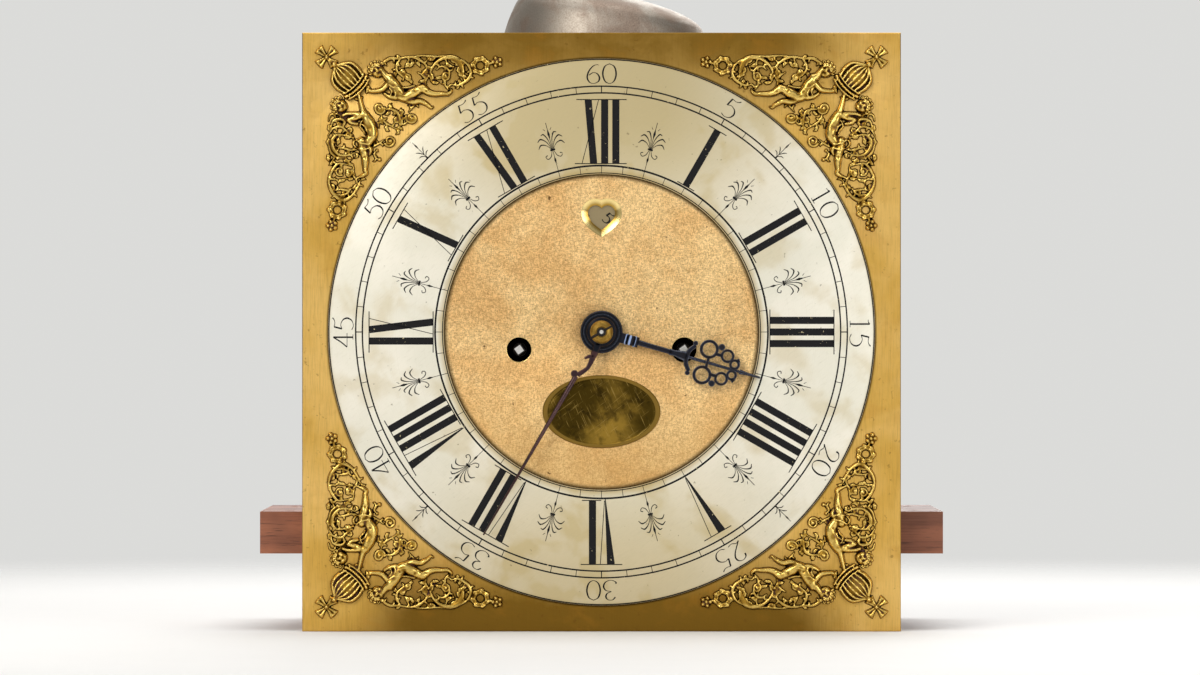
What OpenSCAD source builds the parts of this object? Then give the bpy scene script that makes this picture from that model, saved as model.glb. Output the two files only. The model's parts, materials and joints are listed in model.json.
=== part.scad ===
// Longcase clock dial with its eight-day striking movement, out of the case.
// Millimetres. +Z up, the dial faces -Y, origin at the middle of the seatboard's underside.
// Places on the plates are given as [x, z] from the dial's centre, as seen from the front.

/* [Seatboard] */
// Length of the seatboard
board_w = 350; // [320:1:380]
// Depth of the seatboard, front to back
board_d = 150; // [135:1:170]
// Thickness of the seatboard
board_t = 21.5; // [18:0.5:26]
// Width of the notch that the pendulum hangs through
notch_w = 70; // [40:1:90]
// Depth of that notch from the back edge
notch_d = 52; // [46:1:58]
// Radius of the screw holes at the ends
board_hole_r = 2.75; // [2:0.25:3.5]
// Distance of the screw holes from the ends
board_hole_inset = 14; // [10:1:18]
// Distance between the screw holes, front to back
board_hole_gap = 90; // [70:1:110]

/* [Dial] */
// Side of the square dial plate
dial_side = 304.8; // [300:0.2:310]
// Thickness of the dial plate
dial_t = 2.4; // [1.8:0.1:3.2]
// Gap between the dial plate and the front plate
dial_gap = 38; // [37:0.5:42]
// Outer radius of the chapter ring
chapter_r = 139.2; // [136:0.2:142]
// Inner radius of the chapter ring
chapter_bore_r = 80.3; // [78:0.1:82]
// Thickness of the chapter ring
chapter_t = 1.6; // [1.2:0.1:2.2]
// Radius of the hole in the dial's middle
dial_hole_r = 7; // [6.4:0.1:8]
// Radius of the winding holes
winding_hole_r = 6.2; // [5:0.1:7]
// Width of the heart opening
heart_w = 13.8; // [11:0.2:16]
// Height of the heart's middle above the dial's centre
heart_z = 58.2; // [56:0.2:60]
// Width of the oval plaque
plaque_w = 60; // [52:1:64]
// Height of the oval plaque
plaque_h = 37; // [30:1:40]
// Thickness of the oval plaque
plaque_t = 0.8; // [0.5:0.1:1.2]
// Depth of the plaque's middle under the dial's centre
plaque_drop = 40.5; // [38:0.5:44]

/* [Spandrels] */
// Thickness of the castings' scrollwork
spandrel_t = 2.6; // [2:0.1:3.4]
// Height of the figures in relief, above the plate
figure_t = 4.6; // [3.6:0.1:5.6]
// Width of the scrolls' stems
stem_w = 2; // [1.6:0.1:2.4]
// Radius of the screws that hold the castings
spandrel_screw_r = 1.2; // [0.9:0.1:1.5]

/* [Hands] */
// Length of the minute hand
minute_hand_l = 119.7; // [112:0.1:121]
// Clock angle of the minute hand, degrees after twelve
minute_angle = 210.2; // [0:0.1:360]
// Length of the hour hand
hour_hand_l = 84.6; // [80:0.1:90]
// Clock angle of the hour hand, degrees after twelve
hour_angle = 106.1; // [0:0.1:360]
// Thickness of the hands
hand_t = 1.6; // [1.2:0.1:2]
// Radius of the hour hand's boss
hour_boss_r = 10.8; // [9.5:0.1:12]
// Radius of the brass collet
collet_r = 5.85; // [5:0.05:6.5]

/* [Calendar] */
// Outer radius of the calendar ring
calendar_r = 66; // [64:0.5:68]
// Inner radius of the calendar ring, at the roots of its teeth
calendar_bore_r = 51.5; // [50.5:0.1:52.5]
// Thickness of the calendar ring
calendar_t = 1.2; // [0.8:0.1:1.5]

/* [Plates] */
// Width of the two plates
plate_w = 166; // [160:1:180]
// Height of the plates above the dial's centre
plate_up = 80; // [79:0.5:84]
// Height of the dial's centre above the seatboard
plate_down = 92; // [90:0.5:96]
// Thickness of the plates
plate_t = 3; // [2.5:0.1:4]
// Gap between the plates
plate_gap = 62; // [61:0.5:64]
// Distance of the front plate from the seatboard's front edge
plate_setback = 15; // [10:1:22]
// Radius of the pillars
pillar_r = 4.5; // [4:0.1:5.5]

/* [Trains] */
// Distance of the winding arbors from the middle
winding_x = 42; // [41.5:0.1:42.5]
// Depth of the winding arbors under the centre
winding_drop = 9; // [8:0.1:10]
// Radius of the barrels' drums
barrel_r = 24; // [20:0.5:24.5]
// Radius of the barrels' end caps
barrel_cap_r = 26.5; // [25:0.1:27]
// Grooves on a barrel for the line
barrel_grooves = 14; // [10:1:15]
// Teeth of the going great wheel
going_teeth = 96; // [84:4:104]
// Teeth of the centre wheel
centre_teeth = 60; // [60:1:62]
// Teeth of the third wheel
third_teeth = 56; // [52:1:57]
// Teeth of the escape wheel
escape_teeth = 30; // [24:1:32]
// Radius of the escape wheel
escape_r = 17; // [16:0.1:17.4]
// Teeth of the striking great wheel
strike_teeth = 78; // [74:2:80]
// Teeth of the pin wheel
pin_teeth = 64; // [62:1:66]
// Hammer pins on the pin wheel
pin_count = 8; // [6:1:10]
// Teeth of the pallet wheel
pallet_teeth = 48; // [44:1:50]
// Teeth of the warning wheel
warning_teeth = 48; // [44:1:50]

/* [Bell] */
// Radius of the bell's mouth
bell_r = 60; // [56:0.5:62]
// Height of the bell
bell_h = 50; // [46:0.5:54]
// Thickness of the bell's wall
bell_wall = 2.6; // [2:0.1:3.4]
// Lean of the bell to the right
bell_lean = 11; // [9:0.5:12]

/* [Hidden] */
$fn = 48;

// Fits
running = 0.06;          // radial clearance of a pivot in its hole
side_gap = 0.3;          // clearance beside what turns
tooth_backlash = 0.42;   // thickness of a wheel's tooth, as a share of the tooth pitch
leaf_backlash = 0.38;    // the same for a pinion's leaf

// Depths, front to back: every y below is a face of a plate or of a wheel
front_y = -board_d / 2 + plate_setback;
front_in_y = front_y + plate_t;
back_in_y = front_in_y + plate_gap;
back_y = back_in_y + plate_t;
dial_back_y = front_y - dial_gap;
dial_y = dial_back_y - dial_t;
chapter_y = dial_y - chapter_t;
centre_z = board_t + plate_down;

function polar(r, a) = [r * cos(a), r * sin(a)];
function mesh_distance(m, wheel, pinion) = m * (wheel + pinion) / 2;
function bearing(p, q) = atan2(q[1] - p[1], q[0] - p[0]);
// Direction in the front view of a clock angle, which is counted clockwise from twelve
function clock_direction(a) = 90 - a;

// Going train
centre_at = [0, 0];
going_at = [winding_x, -winding_drop];
great_leaves = 8;
going_mod = 2 * norm(going_at) / (going_teeth + great_leaves);
centre_mod = 0.8;
third_leaves = 8;
third_bearing = 72;
third_at = polar(mesh_distance(centre_mod, centre_teeth, third_leaves), third_bearing);
third_mod = 0.7;
escape_leaves = 7;
third_to_escape = mesh_distance(third_mod, third_teeth, escape_leaves);
escape_at = [0, third_at[1] + sqrt(third_to_escape * third_to_escape - third_at[0] * third_at[0])];
anchor_at = [0, escape_at[1] + escape_r * sqrt(2)];

// Striking train
strike_at = [-winding_x, -winding_drop];
strike_mod = 0.8;
pin_leaves = 8;
pin_at = strike_at + polar(mesh_distance(strike_mod, strike_teeth, pin_leaves), 96.7);
pin_mod = 0.75;
pallet_leaves = 8;
pallet_at = pin_at + polar(mesh_distance(pin_mod, pin_teeth, pallet_leaves), 77.2);
pallet_mod = 0.7;
warning_leaves = 6;
warning_at = pallet_at + polar(mesh_distance(pallet_mod, pallet_teeth, warning_leaves), 11.9);
warning_mod = 0.6;
fly_leaves = 6;
fly_at = warning_at + polar(mesh_distance(warning_mod, warning_teeth, fly_leaves), 118);
hammer_at = [13 - plate_w / 2, 48];

// Motion work
cannon_teeth = 40;
minute_leaves = 6;
hour_teeth = 72;
cannon_mod = 0.8;
minute_distance = mesh_distance(cannon_mod, cannon_teeth, cannon_teeth);
hour_mod = 2 * minute_distance / (hour_teeth + minute_leaves);
minute_at = polar(minute_distance, 45);
day_leaves = 24;
day_teeth = 48;
day_mod = 0.8;
day_at = [0, mesh_distance(day_mod, day_teeth, day_leaves)];
rack_at = [-30, -34];
hook_at = [8, 62];
lift_at = [62, 30];

// Planes of the wheels: the back face of each, then its thickness
wheel_t = 1.6;
great_t = 2.6;
great_plane = back_in_y - 8.8;
second_plane = back_in_y - 2.2;        // centre wheel and pin wheel
escape_plane = back_in_y - 7.4;
pallet_plane = back_in_y - 17.4;
front_plane = front_in_y + 8.6;        // third wheel and warning wheel
cannon_plane = front_y - 2.8;
lever_plane = front_y - 5.3;
lever_t = 1.5;
collar_t = 0.8;                  // height of a lever's collar above its arm
hour_plane = front_y - 10;
snail_plane = front_y - 13.2;
tail_plane = front_y - 16;
day_plane = dial_back_y + 6;
calendar_plane = dial_back_y + side_gap + calendar_t;

// Radii of the arbors and of the pipes that turn round the centre arbor, from the inside out
arbor_r = 1.8;
thin_arbor_r = 1.25;
fly_arbor_r = 1.1;
pivot_r = 0.9;
centre_r = 2.2;
pipe_wall = 0.94;
cannon_bore_r = centre_r + running;
cannon_pipe_r = cannon_bore_r + pipe_wall;
bridge_bore_r = cannon_pipe_r + running;
bridge_pipe_r = bridge_bore_r + pipe_wall;
hour_bore_r = bridge_pipe_r + running;
hour_pipe_r = hour_bore_r + pipe_wall + 0.3;
winding_r = 4;
winding_front_r = 3.5;
winding_back_r = 2.5;
square_side = 4.4;
square_tip = 3.6;
stud_r = 1.5;
stud_bore_r = stud_r + running;
minute_stud_r = 0.85;
minute_end_y = hour_plane - 2.4;

// Planes of the hands
hour_hand_plane = chapter_y - 2.2;
minute_hand_plane = hour_hand_plane - hand_t - 2;
collet_plane = minute_hand_plane - hand_t;
collet_h = 4.6;
hand_pin_y = collet_plane - collet_h - 1;
centre_tip_y = hand_pin_y - 2.4;

// Draws a flat or turned thing at a place on the plates. Its own Z points to the front.
module at(p, y) {
    translate([p[0], y, centre_z + p[1]]) rotate([90, 0, 0]) children();
}

// A plate from its back plane towards the front
module slab(p, y, t) {
    at(p, y) linear_extrude(t) children();
}

// A rod from its back end towards the front
module rod(p, y_back, y_front, r, n = $fn) {
    at(p, y_back) cylinder(h = y_back - y_front, r = r, $fn = n);
}

// Outline of a toothed wheel: root, pitch circle and tip of every tooth
module teeth(count, m, addendum, dedendum, pitch_share, tip_share, root_share, phase) {
    pitch = 360 / count;
    pitch_r = count * m / 2;
    flank = [
        [pitch_r - dedendum * m, -root_share], [pitch_r, -pitch_share],
        [pitch_r + addendum * m, -tip_share], [pitch_r + addendum * m, tip_share],
        [pitch_r, pitch_share], [pitch_r - dedendum * m, root_share]
    ];
    polygon([for (k = [0 : count - 1]) for (f = flank) polar(f[0], phase + (k + f[1] / 2) * pitch)]);
}

module wheel_outline(count, m, phase) {
    teeth(count, m, 0.8, 1.1, tooth_backlash, 0.2, 0.52, phase);
}

module pinion_outline(count, m, phase) {
    teeth(count, m, 0.6, 1.2, leaf_backlash, 0.18, 0.4, phase);
}

// Windows of a crossed-out wheel
module crossings(rim_r, hub_r, arm_w, arms, phase) {
    difference() {
        circle(rim_r);
        circle(hub_r);
        for (k = [0 : arms - 1])
            rotate(phase + k * 360 / arms) translate([0, -arm_w / 2]) square([rim_r + 1, arm_w]);
    }
}

module crossed_wheel(count, m, phase, rim_w, hub_r, arm_w, arm_phase = 45) {
    difference() {
        wheel_outline(count, m, phase);
        crossings(count * m / 2 - 1.1 * m - rim_w, hub_r, arm_w, 4, arm_phase);
    }
}

// Arbor between the plates with a pivot at each end
module arbor(p, r) {
    rod(p, back_in_y - side_gap, front_in_y + side_gap, r);
    rod(p, back_y - side_gap, back_in_y - 2 * side_gap, pivot_r);
    rod(p, front_in_y + 2 * side_gap, front_y + side_gap, pivot_r);
}

// Leaves on an arbor, centred on the wheel that drives them. The tooth gap faces the driver.
module pinion(p, driver, count, m, y_back, length) {
    slab(p, y_back, length) pinion_outline(count, m, bearing(p, driver) + 180 / count);
}

// Limb with round ends, thinning from one end to the other
module limb(p, r1, q, r2) {
    side = polar(1, bearing(p, q) + 90);
    polygon([p + side * r1, q + side * r2, q - side * r2, p - side * r1]);
    translate(p) circle(r1, $fn = 20);
    translate(q) circle(r2, $fn = 20);
}

// The same as one outline, for castings and hands
module stroke(p, r1, q, r2) {
    a = bearing(p, q);
    polygon([
        for (k = [0 : 5]) p + polar(r1, a + 90 + k * 36),
        for (k = [0 : 5]) q + polar(r2, a - 90 + k * 36)
    ]);
}

module ring(c, r, w) {
    translate(c) difference() {
        circle(r + w / 2);
        circle(r - w / 2);
    }
}

// Band along part of a circle
module band(c, r, w, from, to) {
    steps = ceil(abs(to - from) / 18);
    arc = [for (k = [0 : steps]) from + (to - from) * k / steps];
    back = [for (k = [0 : steps]) to + (from - to) * k / steps];
    polygon([for (a = arc) c + polar(r + w / 2, a), for (a = back) c + polar(r - w / 2, a)]);
}

// Heart with its point down, of a given width
module heart(w) {
    lobe = w * 0.28;
    for (side = [-1, 1]) translate([side * (w / 2 - lobe), w * 0.14]) circle(lobe);
    polygon([
        [-w * 0.47, w * 0.02], [-w * 0.2, w * 0.3], [w * 0.2, w * 0.3], [w * 0.47, w * 0.02],
        [0, -w * 0.48]
    ]);
}

// Dial
foot_r = 4;
foot_tenon_r = 2.5;
foot_pin_r = 0.7;
foot_at = [[-64, 58], [64, 58], [-64, -70], [64, -70]];
keep_angles = [35, 145, 215, 325];
keep_post_r = 2;
keep_head_r = 4;
keep_orbit = calendar_r + keep_post_r + side_gap;
// Corners of the dial: the direction from the middle to each
corners = [[-1, 1], [1, 1], [-1, -1], [1, -1]];
spandrel_screw_at = dial_side / 2 - 24.2;

module dial_plate() {
    color("goldenrod") difference() {
        slab([0, 0], dial_back_y, dial_t) difference() {
            square(dial_side, center = true);
            circle(dial_hole_r);
            for (side = [-1, 1]) translate([side * winding_x, -winding_drop]) circle(winding_hole_r);
            translate([0, heart_z]) heart(heart_w);
            for (c = corners) translate(c * spandrel_screw_at) circle(spandrel_screw_r + running);
        }
    }
}

module chapter_ring() {
    color("gainsboro") slab([0, 0], dial_y, chapter_t) difference() {
        circle(chapter_r, $fn = 96);
        circle(chapter_bore_r, $fn = 96);
    }
}

module name_plaque() {
    color("darkgoldenrod") slab([0, -plaque_drop], dial_y, plaque_t)
        polygon([for (k = [0 : 47]) [plaque_w / 2 * cos(k * 7.5), plaque_h / 2 * sin(k * 7.5)]]);
}

module dial_feet() {
    color("peru") for (p = foot_at) difference() {
        union() {
            rod(p, front_y, dial_back_y, foot_r);
            rod(p, front_in_y + 3, front_y - 1, foot_tenon_r);
        }
        foot_pin_hole(p);
    }
}

module foot_pin_hole(p) {
    translate([p[0], front_in_y + foot_pin_r + 0.3, centre_z + p[1] - 6])
        cylinder(h = 12, r = foot_pin_r + 0.02);
}

module dial_foot_pins() {
    color("silver") for (p = foot_at)
        translate([p[0], front_in_y + foot_pin_r + 0.3, centre_z + p[1] - 5])
            cylinder(h = 10, r = foot_pin_r);
}

// Half of a spandrel, along one edge of the dial. Its points are distances in from the dial's
// corner, first along the edge and then away from it.
module spandrel_scrolls() {
    stroke([24.2, 17.6], 1, [33, 12.8], 0.8);
    stroke([33, 12.8], 0.8, [44, 13], 0.9);
    // long leaf scroll along the edge, from the head to the rosette
    band([50, 20], 7.8, stem_w, 95, 290);
    band([61, 17.6], 5.6, stem_w, 180, 420);
    band([75, 21], 9.2, stem_w, 100, 330);
    band([75.6, 20], 4.4, stem_w, 60, 330);
    stroke([44, 13], 0.9, [76, 12.2], 1.1);
    stroke([55, 24], 1, [66, 25], 1.6);
    stroke([64, 14], 1, [70, 24], 1.2);
    stroke([76, 30], 1.2, [84.4, 19.4], 1.4);
    stroke([79.4, 17.8], 1, [83, 16.4], 1.2);
    stroke([83, 16.4], 1.2, [87, 16.3], 1.4);
    // rosette and bud at the tip
    translate([90.5, 16.3]) circle(5.4, $fn = 24);
    stroke([95, 15.4], 1.4, [99.4, 14.8], 2.9);
    // small scrolls between the figures, towards the chapter ring
    band([50, 43.6], 3.4, stem_w, -60, 220);
    stroke([49, 39.4], 0.9, [43.4, 41.4], 1.6);
    stroke([46.4, 46], 1, [43.4, 43.4], 1.5);
    stroke([58.4, 36.4], 1.1, [53.2, 42.2], 1);
}

module spandrel_figure() {
    translate([38, 18.6]) circle(4.6, $fn = 24);
    stroke([41, 22.6], 2, [47.4, 30.2], 4);
    stroke([47.4, 30.2], 4, [56.6, 33.4], 3.4);
    stroke([56.6, 32.4], 3, [66, 30], 2.2);
    stroke([66, 30], 2.2, [75.2, 30.6], 1.2);
    stroke([56.6, 34.6], 2.6, [62.6, 38], 1.8);
    stroke([62.6, 38], 1.8, [67.6, 35], 1.1);
    stroke([43, 26], 1.8, [36.6, 29], 1.4);
    stroke([36.6, 29], 1.4, [31, 25.6], 1.1);
    stroke([44.6, 23.6], 1.4, [50.4, 22.6], 1);
}

module spandrel_crown() {
    translate([24.2, 24.4]) circle(8.4, $fn = 32);
    rotate(45) translate([38.6, 0]) square([6.4, 15], center = true);
    stroke([30, 30], 2, [36, 36], 1.6);
    rotate(45) translate([55, 0]) square([10, 5], center = true);
    stroke([36, 36], 1.5, [42, 42], 1.5);
}

// Cross with four flared arms, joined to the crown
module spandrel_cross() {
    translate([12.6, 12.6]) for (k = [0 : 3]) rotate(45 + 90 * k)
        polygon([[0, -0.9], [1.2, -0.9], [6.1, -2.7], [6.1, 2.7], [1.2, 0.9], [0, 0.9]]);
    stroke([15, 15], 0.9, [20, 20], 1.4);
}

module both_sides() {
    children();
    mirror([1, -1]) children();
}

// The casting in the corner that c points to
module spandrel(c) {
    color("darkgoldenrod") translate([0, dial_y, centre_z])
        rotate([90, 0, 0]) mirror([c[0] > 0 ? 1 : 0, 0, 0]) mirror([0, c[1] > 0 ? 1 : 0, 0])
            translate([-dial_side / 2, -dial_side / 2, 0]) difference() {
                union() {
                    linear_extrude(spandrel_t) {
                        both_sides() spandrel_scrolls();
                        spandrel_cross();
                    }
                    linear_extrude(figure_t) {
                        both_sides() spandrel_figure();
                        spandrel_crown();
                    }
                }
                translate([24.2, 24.2, -1]) cylinder(h = 1 + spandrel_t, r = spandrel_screw_r + 0.02);
            }
}

module spandrel_top_left() { spandrel(corners[0]); }
module spandrel_top_right() { spandrel(corners[1]); }
module spandrel_bottom_left() { spandrel(corners[2]); }
module spandrel_bottom_right() { spandrel(corners[3]); }

module spandrel_screws() {
    color("dimgray") for (c = corners) {
        rod(c * spandrel_screw_at, dial_back_y, dial_y - spandrel_t + 0.2, spandrel_screw_r);
        rod(c * spandrel_screw_at, dial_back_y + 1.6, dial_back_y, 2.4);
    }
}

// Calendar work behind the dial
calendar_days = 31;
calendar_tooth = 2.5;
calendar_pin_r = 0.8;
calendar_pin_orbit = calendar_bore_r - 1.4 - day_at[1];

module calendar_ring() {
    step = 360 / calendar_days;
    color("silver") slab([0, 0], calendar_plane, calendar_t) difference() {
        circle(calendar_r, $fn = 96);
        polygon([for (k = [0 : calendar_days - 1]) for (f = [
            [calendar_bore_r, 0.1], [calendar_bore_r, 0.74], [calendar_bore_r - calendar_tooth, 0.9]
        ]) polar(f[0], (k + f[1]) * step)]);
    }
}

module calendar_keeps() {
    color("dimgray") {
        for (a = keep_angles) {
            rod(polar(keep_orbit, a), calendar_plane + side_gap, dial_back_y, keep_post_r);
            rod(polar(keep_orbit, a), calendar_plane + side_gap + 1, calendar_plane + side_gap,
                keep_head_r);
        }
        rod(day_at, day_plane + 2 * side_gap, dial_back_y, stud_r);
        rod(day_at, day_plane + 1.2 + side_gap, day_plane + side_gap, 3);
    }
}

module calendar_wheel() {
    pin_at_rest = day_at + polar(calendar_pin_orbit, 200);
    color("goldenrod") difference() {
        union() {
            slab(day_at, day_plane, wheel_t)
                crossed_wheel(day_teeth, day_mod, bearing(day_at, centre_at) + 180 / day_teeth, 3, 5, 4, 20);
            rod(day_at, day_plane, dial_back_y + side_gap, 3.4);
            rod(pin_at_rest, day_plane - wheel_t - 1, dial_back_y + side_gap, calendar_pin_r);
            slab(day_at, day_plane - wheel_t - side_gap, 1)
                limb([0, 0], 3.2, polar(calendar_pin_orbit, 200), 1.5);
        }
        rod(day_at, day_plane + 1, dial_back_y - 1, stud_bore_r);
    }
}

// Hands. Each is drawn pointing to the right and turned to its place.
module hand(plane, angle) {
    at([0, 0], plane) rotate(clock_direction(angle)) linear_extrude(hand_t) children();
}

hour_ring_r = 4.1;      // large rings of the hour hand, at the middle of their metal
hour_ring_w = 1.6;

module hour_hand() {
    reach = hour_hand_l - 84.6;
    color("midnightblue") difference() {
        union() {
            rod([0, 0], hour_hand_plane, hour_hand_plane - hand_t, hour_boss_r);
            hand(hour_hand_plane, hour_angle) {
                translate([hour_boss_r - 1, -2.7]) square([9.8, 5.4]);
                stroke([19, 0], 1.5, [37, 0], 1.3);
                stroke([36, 0], 1.7, [45, 0], 2.6);
                stroke([44, 0], 0.9, [73 + reach, 0], 0.7);
                stroke([73 + reach, 0], 1.3, [hour_hand_l - 0.6, 0], 0.5);
                for (side = [-1, 1]) {
                    stroke([45, 0], 1.2, [48, side * 6.8], 1.2);
                    translate([47.6, side * 7.8]) circle(1.3, $fn = 16);
                    ring([55.1, side * 6.8], hour_ring_r, hour_ring_w);
                    translate([61, side * 9.6]) circle(1.7, $fn = 16);
                    ring([65, side * 6], 2.9, 1.4);
                    ring([69.6, side * 2.8], 2.1, 1.4);
                    stroke([59, side * 5.4], 0.9, [62.6, side * 5.4], 0.9);
                    stroke([70, side * 4.6], 0.9, [71.6, side * 5.6], 1.2);
                    stroke([56, 0], 0.7, [56, side * 3.2], 0.8);
                }
            }
        }
        rod([0, 0], hour_hand_plane + 1, hour_hand_plane - hand_t - 1, hour_pipe_r + running);
    }
}

minute_boss_r = 7.6;

module minute_hand() {
    color("#3a2a3c") difference() {
        union() {
            rod([0, 0], minute_hand_plane, minute_hand_plane - hand_t, minute_boss_r);
            hand(minute_hand_plane, minute_angle) {
                stroke([6, 1.4], 2.2, [13, 2.6], 1.5);
                stroke([13, 2.6], 1.5, [19.4, 3], 1);
                stroke([19.4, 3], 1, [25, 0.4], 1.3);
                stroke([12.6, 2.6], 1, [16, -0.6], 0.6);
                translate([25.2, -1.2]) circle(1.9, $fn = 20);
                stroke([26, 0], 1.3, [minute_hand_l - 0.4, 0], 0.4);
            }
        }
        rod([0, 0], minute_hand_plane + 1, minute_hand_plane - hand_t - 1, cannon_pipe_r + running);
    }
}

module hand_collet() {
    color("gold") at([0, 0], collet_plane) difference() {
        rotate_extrude() difference() {
            intersection() {
                translate([0, collet_h - 7.4]) circle(7.4);
                square([collet_r, collet_h]);
            }
            translate([-1, -1]) square([1 + centre_r + running, collet_h + 2]);
        }
    }
}

module hand_pin_shape(r) {
    at([0, 0], hand_pin_y) rotate(30) rotate([0, 90, 0]) cylinder(h = 13, r = r, center = true);
}

module hand_pin() {
    color("silver") hand_pin_shape(0.75);
}

// Motion work between the plate and the dial
bridge_foot_z = 24;
bridge_foot_r = 4;
bridge_plane = front_y - 6;
bridge_t = 2;
bridge_top_y = bridge_plane - 20;
snail_steps = 12;
snail_r = 28;
snail_step = 1.17;
lift_orbit = 12;

module hour_bridge() {
    color("goldenrod") difference() {
        union() {
            slab([0, 0], bridge_plane, bridge_t)
                limb([0, -bridge_foot_z], bridge_foot_r, [0, bridge_foot_z], bridge_foot_r);
            for (side = [-1, 1]) rod([0, side * bridge_foot_z], front_y, bridge_plane - 1, bridge_foot_r);
            rod([0, 0], bridge_plane, bridge_top_y, bridge_pipe_r);
        }
        rod([0, 0], front_y, bridge_top_y - 1, bridge_bore_r);
    }
}

module cannon_wheel() {
    color("goldenrod") difference() {
        union() {
            slab([0, 0], cannon_plane, wheel_t)
                crossed_wheel(cannon_teeth, cannon_mod, bearing(centre_at, minute_at), 3, 5, 4);
            rod([0, 0], front_y - side_gap, cannon_plane, 4.6);
            rod([0, 0], cannon_plane, minute_hand_plane - hand_t, cannon_pipe_r);
        }
        rod([0, 0], front_y, minute_hand_plane - hand_t - 1, cannon_bore_r);
    }
}

module reverse_minute_wheel() {
    pin = minute_at + polar(lift_orbit, 300);
    color("goldenrod") difference() {
        union() {
            slab(minute_at, cannon_plane, wheel_t)
                crossed_wheel(cannon_teeth, cannon_mod,
                    bearing(minute_at, centre_at) + 180 / cannon_teeth, 4.6, 4.4, 4);
            rod(minute_at, front_y - side_gap, hour_plane + 1, 2.5);
            pinion(minute_at, centre_at, minute_leaves, hour_mod, hour_plane + 2, hour_plane + 2 - minute_end_y);
            rod(pin, cannon_plane, lever_plane - lever_t, 0.8);
        }
        rod(minute_at, front_y, minute_end_y - 1, minute_stud_r + running);
    }
}

module hour_wheel() {
    color("goldenrod") difference() {
        union() {
            slab([0, 0], hour_plane, wheel_t)
                crossed_wheel(hour_teeth, hour_mod, bearing(centre_at, minute_at), 3.4, 9, 5, 0);
            rod([0, 0], hour_plane, snail_plane, 9);
            rod([0, 0], hour_plane, hour_hand_plane - hand_t, hour_pipe_r);
            slab([0, 0], day_plane, wheel_t)
                wheel_outline(day_leaves, day_mod, bearing(centre_at, day_at));
        }
        rod([0, 0], hour_plane + 1, hour_hand_plane - hand_t - 1, hour_bore_r);
    }
}

// The snail: one step for each hour, the lowest for twelve
module hour_snail() {
    step = 360 / snail_steps;
    edge = [for (k = [0 : snail_steps - 1]) for (s = [0 : 3])
        polar(snail_r - k * snail_step, hour_angle + (k + s / 3) * step)];
    color("goldenrod") slab([0, 0], snail_plane, 1.4) difference() {
        polygon(edge);
        circle(hour_pipe_r + running);
    }
}

// Steel studs standing on the front plate, each with a head that keeps its piece on
module front_studs() {
    color("dimgray") {
        stud(minute_at, minute_end_y, minute_stud_r);
        stud(rack_at, tail_plane - lever_t, stud_r);
        stud(hook_at, lever_plane - lever_t - collar_t, stud_r);
        stud(lift_at, lever_plane - lever_t, stud_r);
    }
}

module stud(p, y_front, r) {
    rod(p, front_y, y_front - side_gap - 1, r);
    rod(p, y_front - side_gap, y_front - side_gap - 1, r + 1.2);
}

// Rack: a toothed arc on an arm, and a tail that falls on the snail
rack_teeth = 14;
rack_pitch = 1.66;
pallet_tip = 7;
rack_r = norm(pallet_at - rack_at) - pallet_tip - 0.4;
rack_tail = 40;
rack_hub_r = 4.4;
rack_first = bearing(rack_at, pallet_at) + 1;

module rack() {
    color("silver") difference() {
        union() {
            slab(rack_at, lever_plane, lever_t) {
                polygon([
                    for (k = [0 : rack_teeth - 1]) for (f = [[rack_r - 1.7, 0.55], [rack_r, 0.7]])
                        polar(f[0], rack_first - (k + f[1]) * rack_pitch),
                    for (k = [rack_teeth : -1 : 0]) polar(rack_r - 7, rack_first - k * rack_pitch)
                ]);
                stroke([0, 0], rack_hub_r, polar(rack_r - 5, rack_first - 20), 2.4);
            }
            rod(rack_at, lever_plane, tail_plane, 4);
            slab(rack_at, tail_plane, lever_t)
                stroke([0, 0], rack_hub_r, polar(rack_tail, 10), 1.6);
            rod(rack_at + polar(rack_tail, 10), tail_plane + 1, tail_plane, 0.8);
        }
        rod(rack_at, front_y, tail_plane - 3, stud_bore_r);
    }
}

module rack_spring() {
    foot = [-62, -44];
    tip = rack_at + polar(rack_hub_r + 0.5 + side_gap, bearing(rack_at, foot));
    color("steelblue") {
        slab(foot, front_y, 3) limb([0, 0], 3, [0, -8], 3);
        slab([0, 0], lever_plane, lever_t) limb(foot, 0.9, tip, 0.5);
        rod(foot, front_y, lever_plane - lever_t, 2.2);
    }
}

hook_beak = rack_at + polar(rack_r + 0.6, 88);

module rack_hook() {
    color("silver") difference() {
        union() {
            slab([0, 0], lever_plane, lever_t) {
                limb(hook_at, 4, [-24, 57], 2);
                limb([-24, 57], 2, hook_beak + [0.4, 2], 1.2);
                polygon([hook_beak, hook_beak + [2.6, 2], hook_beak + [-1.6, 3]]);
            }
            rod(hook_at, lever_plane, lever_plane - lever_t - collar_t, 3.4);
        }
        rod(hook_at, front_y, lever_plane - 4, stud_bore_r);
    }
}

lug_at = [-6.3, 51.4];
lug_w = 2.4;

module lifting_piece() {
    color("silver") difference() {
        union() {
            slab([0, 0], lever_plane, lever_t) {
                limb(lift_at, 4.2, lug_at, 1.7);
                limb(lug_at, 1.7, [-20, 52.5], 1.4);
                limb(lift_at + [-2, -1], 2.6, minute_at + polar(lift_orbit + 2.6, 8), 1.2);
            }
            at(lug_at, front_in_y + 3.4) translate([-lug_w / 2, -lug_w / 2, 0])
                cube([lug_w, lug_w, front_in_y + 3.4 - lever_plane + lever_t]);
        }
        rod(lift_at, front_y, lever_plane - 4, stud_bore_r);
    }
}

module gathering_pallet() {
    color("silver") difference() {
        union() {
            rod(pallet_at, lever_plane, lever_plane - lever_t - 0.4, 3.4);
            slab(pallet_at, lever_plane, lever_t) stroke([0, 0], 2, polar(pallet_tip - 0.8, 200), 0.8);
        }
        rod(pallet_at, front_y, lever_plane - 4, pallet_front_r + 0.02);
    }
}

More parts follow.
